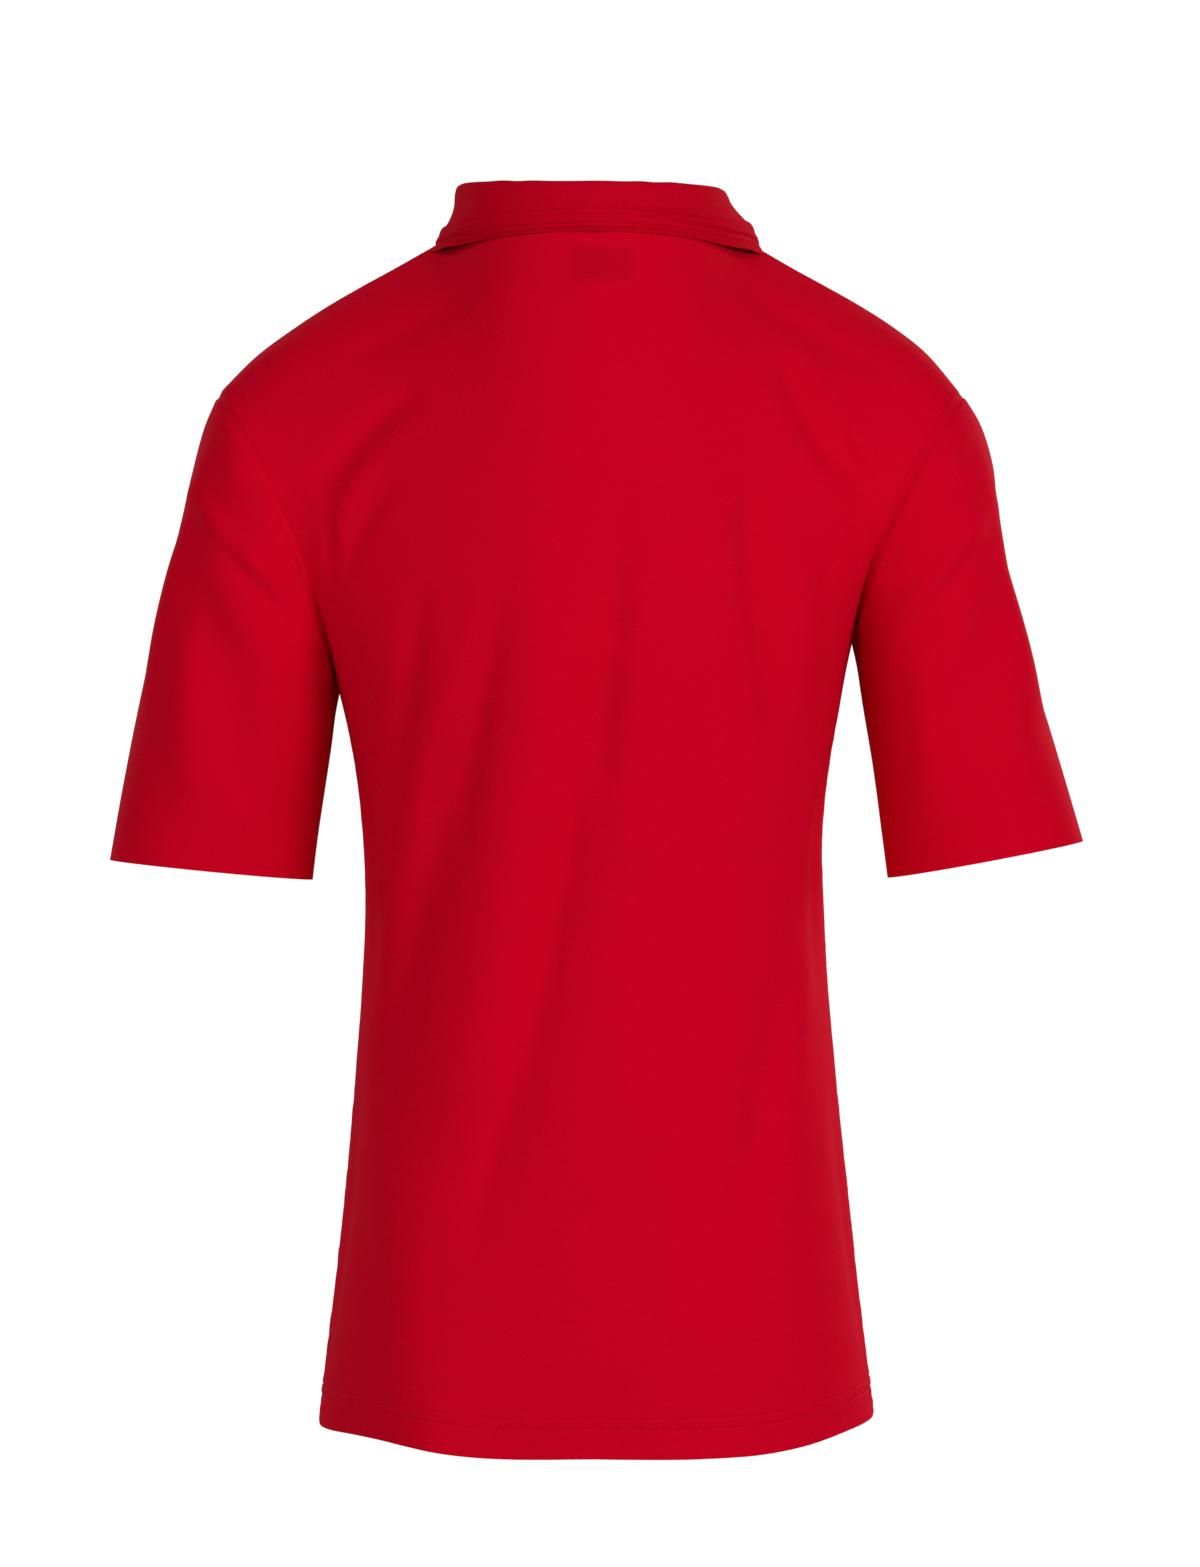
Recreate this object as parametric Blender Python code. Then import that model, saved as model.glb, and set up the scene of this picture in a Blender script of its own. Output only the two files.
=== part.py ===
"""Pique polo shirt in the form it has when worn, with nobody in it.

Metres, +Z up. The back of the shirt faces -Y and the wearer's left is at -X. The origin is the middle
of the neck opening, level with the high points of the shoulders.
"""

import math

import bpy
import numpy as np
from mathutils import Matrix, Vector
from mathutils.bvhtree import BVHTree

# Cloth and seams
PIQUE = 0.0015  # wall of the body and sleeves
RIB = 0.0024  # wall of the flat-knit collar
GAP = 0.0003  # between two pieces at a seam
SEAM_INSET = 0.0002  # of each edge at a shoulder or side seam, which leaves about GAP between the walls
SLEEVE_GAP = 0.0006  # measured square to the armhole, which leaves about GAP between the walls
COLLAR_GAP = 0.0006  # from the neck seam to the foot of the collar, whose wall is thicker than the body's

# Neck opening
NECK_HALF_WIDTH = 0.079
NECK_BACK, NECK_FRONT = 0.075, 0.066  # from the origin to the seam at the centre back and centre front
NECK_HEIGHT = 0.003  # of the seam at the high points of the shoulders
NECK_BACK_DROP, NECK_FRONT_DROP = 0.006, 0.077

# Armholes: tip of the shoulder, underarm, and how the seam bows between them
TIP = {-1: (-0.2257, 0.0, -0.0940), 1: (0.2196, 0.0, -0.0940)}
UNDERARM = {-1: (-0.1580, 0.0, -0.2680), 1: (0.1583, 0.0, -0.2380)}
ARMHOLE_DEPTH = 0.066  # from the chord to the seam at the back, and the same at the front
ARMHOLE_BOW = {-1: 0.012, 1: 0.018}  # towards the middle of the body, at the back and at the front

# Placket: a slot in the front, an under strip in it and an upper strip over both
SLOT_HALF_WIDTH = 0.015
SLOT_ROWS = 8
STRIP_LAP = 0.0015  # of the upper strip over the front at each side
STRIP_END = 0.014  # of the upper strip past the slot's lower end
BUTTON_ROWS = (0.9, 4.0, 7.1)  # along the slot, counted in rows of the front
BUTTON_SIDES = 20

# Collar
ROLL_RADIUS = 0.0023
COLLAR_LEAN = {-1: -0.04, 1: 0.20}  # of the stand towards the neck at each side, as a slope
COLLAR_DIP = {-1: 0.0000, 1: 0.0020}  # of the roll at each side
RIDGES = (0.0030, 0.0070, 0.0110)  # distance of each knitted ridge from the collar's outer edge
RIDGE_HEIGHT = 0.0006
RIDGE_HALF_PITCH = 0.0020
COLLAR_CLEAR = 0.0021  # from the cloth under it to the middle of the collar's wall
COLLAR_MEETS = 0.0013  # half the distance between the collar's two ends at the centre front
COLLAR_OPENS = (110, 170)  # degrees between which the stand turns from upright to the slope of the front
STAND_SHARES = (0, 0.25, 0.62, 1)  # of the stand's height, at the rows up to the roll
ROLL_ROWS = 4
FALL_STIFFNESS = 0.45  # share of the fall's length over which it leaves the roll straight down
FALL_SHARES = (0.34, 0.68)  # of the way from the roll to the first ridge, at the plain rows of the fall

# Grid of a body panel
YOKE_ROWS, SKIRT_ROWS = 10, 18
CREASE_ANGLE = 50  # degrees between two faces, past which their shared edge looks sharp
NECK_COLUMNS, SHOULDER_COLUMNS = 6, 7
SLOT_SHARE, NECK_SHARE = 0.10, 0.56  # of the half width, at the slot's edge and below the neck point
SLEEVE_ROWS = 9
SLEEVE_CROWDING = 1.15  # exponent that sets a sleeve's rows closer together near the armhole
SIDE_ROUNDNESS = 2.3  # exponent of the curve round the body
YOKE_ROUNDNESS = 2.2  # exponent of the curve across the yoke
SLEEVE_ROUNDNESS = 0.95  # exponent of the curve round a sleeve
BOW_REACH = 0.3  # share of a sleeve over which the bow of its armhole dies out
SLEEVE_FRONT_FOLDS = 0.8  # depth of the folds at a sleeve's front, as a share of those at its back

# Shoulder seam from the neck point to the tip
SHOULDER = (  # share of the way, height
    (0.000, 0.0030), (0.160, -0.0097), (0.330, -0.0238), (0.500, -0.0375), (0.716, -0.0578),
    (0.876, -0.0757), (1.000, -0.0940),
)

# Body from the underarm to the hem, as distances from the middle
BODY = (  # drop, left side, right side, back, front
    (0.238, 0.1583, 0.1583, 0.1330, 0.1420),
    (0.257, 0.1582, 0.1540, 0.1320, 0.1420),
    (0.275, 0.1562, 0.1506, 0.1300, 0.1415),
    (0.293, 0.1513, 0.1470, 0.1275, 0.1405),
    (0.330, 0.1440, 0.1400, 0.1215, 0.1380),
    (0.366, 0.1398, 0.1360, 0.1165, 0.1350),
    (0.402, 0.1380, 0.1372, 0.1135, 0.1330),
    (0.451, 0.1400, 0.1400, 0.1130, 0.1330),
    (0.499, 0.1440, 0.1446, 0.1155, 0.1340),
    (0.596, 0.1530, 0.1550, 0.1225, 0.1365),
    (0.644, 0.1585, 0.1602, 0.1255, 0.1375),
    (0.693, 0.1646, 0.1664, 0.1285, 0.1385),
    (0.717, 0.1668, 0.1690, 0.1295, 0.1390),
)
HEM_MIDDLE = {-1: -0.7228, 1: -0.7170}  # height at the centre back and the centre front
HEM_RISE = (  # share of the half width, rise to the left, rise to the right, both at the back
    (0.00, 0.0000, 0.0000), (0.40, 0.0002, -0.0006), (0.60, 0.0034, 0.0004),
    (0.75, 0.0062, 0.0032), (0.92, 0.0072, 0.0086), (1.00, 0.0060, 0.0112),
)

# Centre lines of the back and the front, from the neck seam to the underarm's level
CENTRE = {
    -1: (  # share of the way, y, z
        (0.00, -0.0750, -0.0030), (0.25, -0.0990, -0.0560), (0.50, -0.1200, -0.1180),
        (0.75, -0.1310, -0.1860), (1.00, -0.1325, -0.2540),
    ),
    1: (
        (0.00, 0.0660, -0.0740), (0.25, 0.0930, -0.1090), (0.50, 0.1180, -0.1520),
        (0.75, 0.1350, -0.2020), (1.00, 0.1420, -0.2560),
    ),
}

# Sleeves from the armhole to the cuff: the line over the shoulder and the line from the underarm
SLEEVE = {
    -1: (  # share of the way, outer x, outer z, inner x, inner z
        (0.00, -0.2257, -0.0940, -0.1580, -0.2680),
        (0.07, -0.2335, -0.1120, -0.1582, -0.2765),
        (0.14, -0.2392, -0.1310, -0.1588, -0.2850),
        (0.27, -0.2490, -0.1680, -0.1604, -0.3005),
        (0.52, -0.2664, -0.2400, -0.1646, -0.3310),
        (0.77, -0.2812, -0.3120, -0.1690, -0.3620),
        (1.00, -0.2934, -0.3785, -0.1724, -0.3902),
    ),
    1: (
        (0.00, 0.2196, -0.0940, 0.1583, -0.2380),
        (0.07, 0.2303, -0.1115, 0.1592, -0.2500),
        (0.14, 0.2376, -0.1300, 0.1606, -0.2610),
        (0.27, 0.2424, -0.1660, 0.1636, -0.2820),
        (0.52, 0.2575, -0.2370, 0.1688, -0.3190),
        (0.77, 0.2778, -0.3060, 0.1738, -0.3560),
        (1.00, 0.2952, -0.3672, 0.1786, -0.3890),
    ),
}
SLEEVE_DEPTH = (  # share of the way, half of the sleeve's depth, how far its middle lies to the front
    (0.00, 0.0660, 0.0000), (0.14, 0.0680, 0.0010), (0.30, 0.0680, 0.0030), (0.52, 0.0630, 0.0055),
    (0.77, 0.0560, 0.0080), (1.00, 0.0495, 0.0100),
)

# Collar round the neck: how high its stand is and where its outer edge lies
COLLAR = (  # degrees from the centre back, stand, edge x, edge y, edge z
    (0, 0.0230, 0.0000, -0.0850, -0.0050), (30, 0.0228, 0.0460, -0.0750, -0.0052),
    (60, 0.0226, 0.0830, -0.0450, -0.0060), (90, 0.0220, 0.1015, 0.0000, -0.0080),
    (115, 0.0185, 0.1010, 0.0420, -0.0240), (140, 0.0110, 0.0860, 0.0790, -0.0600),
    (160, 0.0055, 0.0660, 0.0960, -0.0960), (180, 0.0030, 0.0450, 0.1040, -0.1230),
)

# Large folds of the cloth. A negative depth is a trough. Each runs from its start to its end.
BACK_FOLDS = (  # start x, start z, end x, end z, sideways bend, half width, depth
    (-0.046, -0.215, -0.119, -0.535, -0.012, 0.017, -0.0048),
    (0.032, -0.155, -0.070, -0.615, 0.018, 0.018, -0.0042),
    (-0.015, -0.200, -0.080, -0.560, 0.004, 0.020, 0.0034),
    (-0.100, -0.220, -0.119, -0.350, -0.006, 0.014, -0.0030),
    (0.102, -0.175, 0.122, -0.320, 0.006, 0.015, -0.0036),
    (0.125, -0.225, 0.138, -0.290, 0.002, 0.011, 0.0030),
    (0.128, -0.435, 0.092, -0.605, -0.008, 0.018, -0.0030),
    (0.070, -0.220, 0.056, -0.330, 0.000, 0.018, -0.0020),
    (-0.168, -0.160, -0.115, -0.092, -0.006, 0.011, -0.0030),
    (0.120, -0.055, 0.182, -0.136, 0.010, 0.012, -0.0030),
    (0.148, -0.098, 0.176, -0.172, 0.006, 0.009, -0.0024),
)
FRONT_FOLDS = (
    (-0.140, -0.235, -0.060, -0.420, 0.016, 0.017, -0.0044),
    (-0.118, -0.220, -0.035, -0.340, 0.010, 0.016, 0.0030),
    (0.142, -0.215, 0.070, -0.400, -0.014, 0.018, -0.0042),
    (0.118, -0.205, 0.050, -0.330, -0.008, 0.015, 0.0028),
    (-0.030, -0.330, -0.085, -0.640, 0.010, 0.020, -0.0036),
    (0.045, -0.300, 0.092, -0.650, -0.012, 0.020, -0.0040),
    (0.008, -0.370, 0.012, -0.660, 0.006, 0.022, 0.0030),
    (-0.115, -0.080, -0.168, -0.150, -0.008, 0.012, -0.0028),
    (0.118, -0.078, 0.166, -0.146, 0.008, 0.012, -0.0030),
)
SLEEVE_FOLDS = {
    -1: (
        (-0.216, -0.115, -0.176, -0.205, 0.008, 0.011, -0.0028),
        (-0.232, -0.150, -0.182, -0.270, 0.010, 0.013, -0.0032),
        (-0.248, -0.190, -0.240, -0.340, 0.004, 0.017, -0.0034),
    ),
    1: (
        (0.214, -0.118, 0.182, -0.200, -0.008, 0.011, -0.0028),
        (0.232, -0.160, 0.196, -0.280, -0.008, 0.013, -0.0030),
        (0.246, -0.205, 0.252, -0.330, -0.004, 0.016, -0.0028),
    ),
}

# Colours, as 8-bit sRGB
RED = (202, 0, 33)
COLLAR_RED = (181, 1, 27)
BUTTON_RED = (150, 6, 26)


def mix(start, end, share):
    """The value at a share of the way from start to end."""
    return start + (end - start) * share


def unit(vectors):
    """The same directions with a length of 1."""
    return vectors / np.linalg.norm(vectors, axis=-1, keepdims=True)


def step(low, high, value):
    """0 below low, 1 above high, and a smooth rise between them."""
    share = np.clip((value - low) / (high - low), 0, 1)
    return share * share * (3 - 2 * share)


def read(table, places):
    """A table's columns at these values of its first column, on a smooth curve through its rows."""
    rows = np.array(table, float)
    knots, values = rows[:, 0], rows[:, 1:]
    slopes = np.gradient(values, knots, axis=0)
    places = np.clip(np.atleast_1d(places), knots[0], knots[-1])
    first = np.clip(np.searchsorted(knots, places) - 1, 0, len(knots) - 2)
    length = (knots[first + 1] - knots[first])[:, None]
    share = (places - knots[first])[:, None] / length
    rest = 1 - share
    ends = (1 + 2 * share) * rest**2 * values[first] + (3 - 2 * share) * share**2 * values[first + 1]
    return ends + length * share * rest * (rest * slopes[first] - share * slopes[first + 1])


def normals(grid, loop=False):
    """Unit normals of a grid of points, from its neighbours along the rows and the columns."""
    down = np.gradient(grid, axis=0)
    if loop:
        across = (np.roll(grid, -1, axis=1) - np.roll(grid, 1, axis=1)) / 2
    else:
        across = np.gradient(grid, axis=1)
    return unit(np.cross(down, across))


def fold(points, folds):
    """How far each point moves along its normal: a soft trough or ridge round each fold's line."""
    moved = np.zeros(points.shape[:-1])
    for start_x, start_z, end_x, end_z, bend, half_width, depth in folds:
        length = math.hypot(end_x - start_x, end_z - start_z)
        along_x, along_z = (end_x - start_x) / length, (end_z - start_z) / length
        x, z = points[..., 0] - start_x, points[..., 2] - start_z
        share = np.clip((x * along_x + z * along_z) / length, 0, 1)
        beside = x * along_z - z * along_x - bend * 4 * share * (1 - share)
        moved += depth * np.exp(-((beside / half_width) ** 2)) * np.sin(math.pi * share) ** 0.8
    return moved


def material(name, colour, roughness):
    """A plain material from an 8-bit sRGB colour."""
    made = bpy.data.materials.get(name)
    if made:
        return made
    made = bpy.data.materials.new(name)
    made.use_nodes = True
    shader = made.node_tree.nodes["Principled BSDF"]
    srgb = np.array(colour) / 255
    linear = np.where(srgb <= 0.04045, srgb / 12.92, ((srgb + 0.055) / 1.055) ** 2.4)
    shader.inputs["Base Color"].default_value = (*linear, 1)
    shader.inputs["Roughness"].default_value = roughness
    shader.inputs["Metallic"].default_value = 0
    return made


def add_object(name, points, faces, finish):
    """A smooth-shaded mesh object in the scene."""
    mesh = bpy.data.meshes.new(name)
    mesh.from_pydata([tuple(p) for p in points], [], faces)
    mesh.shade_smooth()
    mesh.set_sharp_from_angle(angle=math.radians(CREASE_ANGLE))
    mesh.materials.append(finish)
    piece = bpy.data.objects.new(name, mesh)
    bpy.context.scene.collection.objects.link(piece)
    return piece


def wall(name, outer, inner, finish, missing=None, loop=False):
    """A closed wall between two grids of points, with a rim along every free edge.

    missing marks cells that are left out, and loop joins the last column to the first.
    """
    rows, columns = outer.shape[:2]
    index = np.arange(rows * columns).reshape(rows, columns)
    if loop:
        index = np.concatenate([index, index[:, :1]], axis=1)
    cells = np.stack([index[:-1, :-1], index[1:, :-1], index[1:, 1:], index[:-1, 1:]], axis=-1)
    cells = cells.reshape(-1, 4) if missing is None else cells[~missing]
    points = outer.reshape(-1, 3)
    corners = points[cells]
    faces_out = np.cross(corners[:, 2] - corners[:, 0], corners[:, 3] - corners[:, 1])
    outwards = (points - inner.reshape(-1, 3))[cells].mean(axis=1)
    if (faces_out * outwards).sum() < 0:
        cells = cells[:, ::-1]
    edges = np.concatenate([np.stack([cells[:, k], cells[:, (k + 1) % 4]], axis=1) for k in range(4)])
    directed = {tuple(edge) for edge in edges.tolist()}
    count = len(points)
    rims = [(b, a, a + count, b + count) for a, b in directed if (b, a) not in directed]
    faces = cells.tolist() + (cells[:, ::-1] + count).tolist() + sorted(rims)
    used = np.unique(np.array(faces))
    renumbered = np.zeros(2 * count, int)
    renumbered[used] = np.arange(len(used))
    both = np.concatenate([points, inner.reshape(-1, 3)])
    return add_object(name, both[used], renumbered[np.array(faces)].tolist(), finish)


def neck_seam(degrees, side):
    """Points of the neck seam, by the degrees from the centre back (0) over the shoulder (90) to the front."""
    angle = np.radians(degrees)
    front = np.cos(angle) < 0
    reach = np.where(front, NECK_FRONT, NECK_BACK)
    along = np.abs(np.cos(angle))
    drop = np.where(front, NECK_FRONT_DROP * along**1.4, NECK_BACK_DROP * along**2)
    x = side * NECK_HALF_WIDTH * np.sin(angle)
    return np.stack([x, -reach * np.cos(angle), NECK_HEIGHT - drop], axis=-1)


def slot_angle():
    """Degrees from the centre back or front to the neck seam above the slot's edge."""
    return math.degrees(math.asin(SLOT_HALF_WIDTH / NECK_HALF_WIDTH))


def armhole(face, side, share):
    """Points of an armhole's seam on the back (-1) or front (1), from the shoulder's tip to the underarm."""
    turn = (math.pi * share)[:, None]
    seam = mix(np.array(TIP[side]), np.array(UNDERARM[side]), (1 - np.cos(turn)) / 2)
    seam[:, 1:2] += face * ARMHOLE_DEPTH * np.sin(turn) ** 0.9
    seam[:, 0:1] -= side * ARMHOLE_BOW[face] * np.sin(turn) ** 2
    return seam


def half_columns():
    """Shares of the half width at which the columns of a panel stand, from the middle to the edge."""
    neck = np.linspace(SLOT_SHARE, NECK_SHARE, NECK_COLUMNS + 1)
    start = math.asin(NECK_SHARE)
    shoulder = np.sin(np.linspace(start, math.pi / 2, SHOULDER_COLUMNS + 1))[1:]
    return np.concatenate([[0.0], neck, shoulder])


def top_edge(face, side):
    """Points of a panel's top edge from its middle: half of the neck seam, then the shoulder seam."""
    slot = slot_angle()
    angles = np.concatenate([[0.0], np.linspace(slot, 90, NECK_COLUMNS + 1)])
    if face > 0:
        angles = 180 - angles
    neck = neck_seam(angles, side)
    share = np.linspace(0, 1, SHOULDER_COLUMNS + 1)[1:]
    tip = np.array(TIP[side])
    seam = np.zeros((SHOULDER_COLUMNS, 3))
    seam[:, 0] = mix(side * NECK_HALF_WIDTH, tip[0], share)
    seam[:, 2] = read(SHOULDER, share)[:, 0]
    return np.concatenate([neck, seam])


def half_panel(face, side):
    """Points of half of the back (-1) or front (1), in rows from the top edge down and columns to one side."""
    share = np.linspace(0, 1, YOKE_ROWS + 1)
    yoke_edge = armhole(face, side, share)
    yoke_middle = read(CENTRE[face], share)
    down = np.linspace(0, 1, SKIRT_ROWS + 1)[1:]
    out = half_columns()[None, :]
    hem = HEM_MIDDLE[-1] + read(HEM_RISE, out[0])[:, 0 if side < 0 else 1]
    hem += (HEM_MIDDLE[face] - HEM_MIDDLE[-1]) * (1 - out[0] ** 2)
    side_z = mix(UNDERARM[side][2], hem[-1], down)
    middle_z = mix(yoke_middle[-1, 1], hem[0], down)
    side_x = side * read(BODY, -side_z)[:, 0 if side < 0 else 1]
    middle_y = face * read(BODY, -middle_z)[:, 2 if face < 0 else 3]

    edge = np.concatenate([yoke_edge, np.stack([side_x, 0 * side_x, side_z], axis=1)])[:, None]
    middle = np.concatenate([yoke_middle, np.stack([middle_y, middle_z], axis=1)])[:, None]
    round_share = step(0.3, 1.0, np.concatenate([share, 1 + down]))[:, None]
    flat = 1 - out**YOKE_ROUNDNESS
    rounded = np.maximum(1 - out**SIDE_ROUNDNESS, 0) ** (1 / SIDE_ROUNDNESS)
    grid = np.empty((len(edge), out.shape[1], 3))
    grid[..., 0] = edge[..., 0] * out
    grid[..., 1] = mix(edge[..., 1], middle[..., 0], mix(flat, rounded, round_share))
    grid[..., 2] = mix(middle[..., 1], edge[..., 2], out**2)
    grid[YOKE_ROWS + 1 :, :, 2] = mix(grid[YOKE_ROWS, :, 2], hem, down[:, None])

    lift = top_edge(face, side) - grid[0]
    for row, near_top in enumerate((1 - share) ** 2):
        grid[row] += near_top * lift
        lift[1:-1] = (lift[:-2] + 2 * lift[1:-1] + lift[2:]) / 4
    grid[:, 1, 0] = side * SLOT_HALF_WIDTH
    return grid


def panel(face, folds):
    """Points of the whole back or front with its folds, in columns from the wearer's left to the right."""
    left, right = half_panel(face, -1), half_panel(face, 1)
    grid = np.concatenate([left[:, :0:-1], right], axis=1)
    columns = half_columns()
    out = np.concatenate([columns[:0:-1], columns])
    calm = 1 - out**6
    calm_top = step(0, 3, np.arange(len(grid)))[:, None]
    middle = np.abs(grid[..., 0]) < 1.5 * SLOT_HALF_WIDTH
    rows = np.arange(len(grid))[:, None]
    calm_slot = np.where((face > 0) & middle & (rows <= SLOT_ROWS + 1), 0, 1)
    facing = -face * normals(grid)
    return grid + facing * (fold(grid, folds) * calm * calm_top * calm_slot)[..., None]


def share_rims(first, second):
    """Gives two pieces the same wall direction along a seam."""
    both = unit(first + second)
    return both, both


def drawn_in(edge, inside):
    """An edge moved into its piece, to leave the gap at a seam."""
    return edge + unit(inside - edge) * SEAM_INSET


def body_panels():
    """The back's and the front's outer points and outward directions, with the seams between them parted."""
    back, front = panel(-1, BACK_FOLDS), panel(1, FRONT_FOLDS)
    back_out, front_out = normals(back), -normals(front)
    skirt = slice(YOKE_ROWS, None)
    for column in (0, -1):
        back_out[skirt, column], front_out[skirt, column] = share_rims(
            back_out[skirt, column], front_out[skirt, column]
        )
    for seam in (slice(0, SHOULDER_COLUMNS + 1), slice(-SHOULDER_COLUMNS - 1, None)):
        back_out[0, seam], front_out[0, seam] = share_rims(back_out[0, seam], front_out[0, seam])
    for grid in (back, front):
        for seam in (slice(0, SHOULDER_COLUMNS + 1), slice(-SHOULDER_COLUMNS - 1, None)):
            grid[0, seam] = drawn_in(grid[0, seam], grid[1, seam])
        grid[skirt, 0] = drawn_in(grid[skirt, 0], grid[skirt, 1])
        grid[skirt, -1] = drawn_in(grid[skirt, -1], grid[skirt, -2])
    return back, back_out, front, front_out


def sleeve(side, panel_edges):
    """A sleeve's outer points and outward directions: rings from the armhole to the cuff."""
    share = np.linspace(0, 1, SLEEVE_ROWS + 1) ** SLEEVE_CROWDING
    lines = read(SLEEVE[side], share)
    depths = read(SLEEVE_DEPTH, share)
    zero = np.zeros(len(share))
    outer = np.stack([lines[:, 0], zero, lines[:, 1]], axis=1)[:, None]
    inner = np.stack([lines[:, 2], zero, lines[:, 3]], axis=1)[:, None]
    turn = np.linspace(0, 2 * math.pi, 2 * YOKE_ROWS + 1)[:-1]
    face = np.where(turn <= math.pi, -1, 1)
    across = np.abs(np.sin(turn))
    grid = mix(outer, inner, ((1 - np.cos(turn)) / 2)[None, :, None])
    grid[..., 1] = depths[:, 1:2] + face * depths[:, 0:1] * across**SLEEVE_ROUNDNESS
    bow = np.where(face < 0, ARMHOLE_BOW[-1], ARMHOLE_BOW[1]) * across**2
    grid[..., 0] -= side * bow * np.clip(1 - share / BOW_REACH, 0, 1)[:, None] ** 2
    grid[0] = armhole_ring(side)
    out = normals(grid, loop=True)
    if (out * (grid - grid.mean(axis=1, keepdims=True))).sum() < 0:
        out = -out
    calm = (step(0, 0.25, share) * step(1.05, 0.75, share))[:, None]
    back_or_front = np.where(face < 0, 1, SLEEVE_FRONT_FOLDS) * step(0.1, 0.5, across)
    grid += out * (fold(grid, SLEEVE_FOLDS[side]) * calm * back_or_front)[..., None]

    together = (out[0] * panel_edges).sum(axis=-1, keepdims=True)
    shared = step(-0.4, 0.2, together)
    out[0] = unit(mix(out[0], unit(out[0] + panel_edges), shared))
    grid[0] += SLEEVE_GAP * armhole_axis(side)
    return grid, out


def armhole_ring(side):
    """The armhole's seam as one ring: down the back from the tip to the underarm, and up the front."""
    share = np.linspace(0, 1, YOKE_ROWS + 1)
    back, front = armhole(-1, side, share), armhole(1, side, share)
    return np.concatenate([back, front[-2:0:-1]])


def armhole_axis(side):
    """Unit direction square to the armhole's chord, away from the body."""
    chord = np.array(UNDERARM[side]) - np.array(TIP[side])
    return unit(np.array([side * abs(chord[2]), 0, -abs(chord[0])]))


def edge_ring(back, front, side):
    """One side's edge values of the two panels, in the order of the armhole's ring."""
    column = 0 if side < 0 else -1
    return np.concatenate([back[: YOKE_ROWS + 1, column], front[YOKE_ROWS - 1 : 0 : -1, column]])


def strip(front, front_out, half_width, first_out, thickness, extra):
    """A placket strip's outer and inner points, worked out from the front's points round the slot.

    first_out is how far its inner face lies outside the front's outer face. extra is its length past the
    slot's end, and is negative for a strip that ends short of it.
    """
    middle = len(half_columns()) - 1
    rows = slice(0, SLOT_ROWS + 1)
    centre = front[rows, middle]
    share = half_width / SLOT_HALF_WIDTH
    left = mix(centre, front[rows, middle - 1], share)
    right = mix(centre, front[rows, middle + 1], share)
    grid = np.stack([left, centre, right], axis=1)
    out = front_out[rows, middle - 1 : middle + 2].copy()
    last = grid[-1] + unit(grid[-1] - grid[-2]) * extra
    if extra > 0:
        grid = np.concatenate([grid, last[None]])
        out = np.concatenate([out, out[-1:]])
    else:
        grid[-1] = last
    return grid + out * (first_out + thickness), grid + out * first_out


def button(name, place, outwards):
    """A turned button with a raised rim, lying on the placket."""
    profile = (  # radius, height above the strip
        (0.0000, 0.0000), (0.0047, 0.0000), (0.0055, 0.0007), (0.0056, 0.0015),
        (0.0051, 0.0023), (0.0043, 0.0021), (0.0036, 0.0016), (0.0000, 0.0016),
    )
    points = [(0, 0, profile[0][1])]
    for radius, height in profile[1:-1]:
        for k in range(BUTTON_SIDES):
            angle = 2 * math.pi * k / BUTTON_SIDES
            points.append((radius * math.cos(angle), radius * math.sin(angle), height))
    points.append((0, 0, profile[-1][1]))
    faces = []
    rings = len(profile) - 2
    for k in range(BUTTON_SIDES):
        after = (k + 1) % BUTTON_SIDES
        faces.append((0, 1 + after, 1 + k))
        for ring in range(rings - 1):
            low, high = 1 + ring * BUTTON_SIDES, 1 + (ring + 1) * BUTTON_SIDES
            faces.append((low + k, low + after, high + after, high + k))
        last = 1 + (rings - 1) * BUTTON_SIDES
        faces.append((last + k, last + after, len(points) - 1))
    piece = add_object(name, points, faces, material("button_resin", BUTTON_RED, 0.35))
    turn = Vector(outwards).to_track_quat("Z", "Y").to_matrix().to_4x4()
    piece.matrix_world = Matrix.Translation(Vector(place)) @ turn
    return piece


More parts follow.
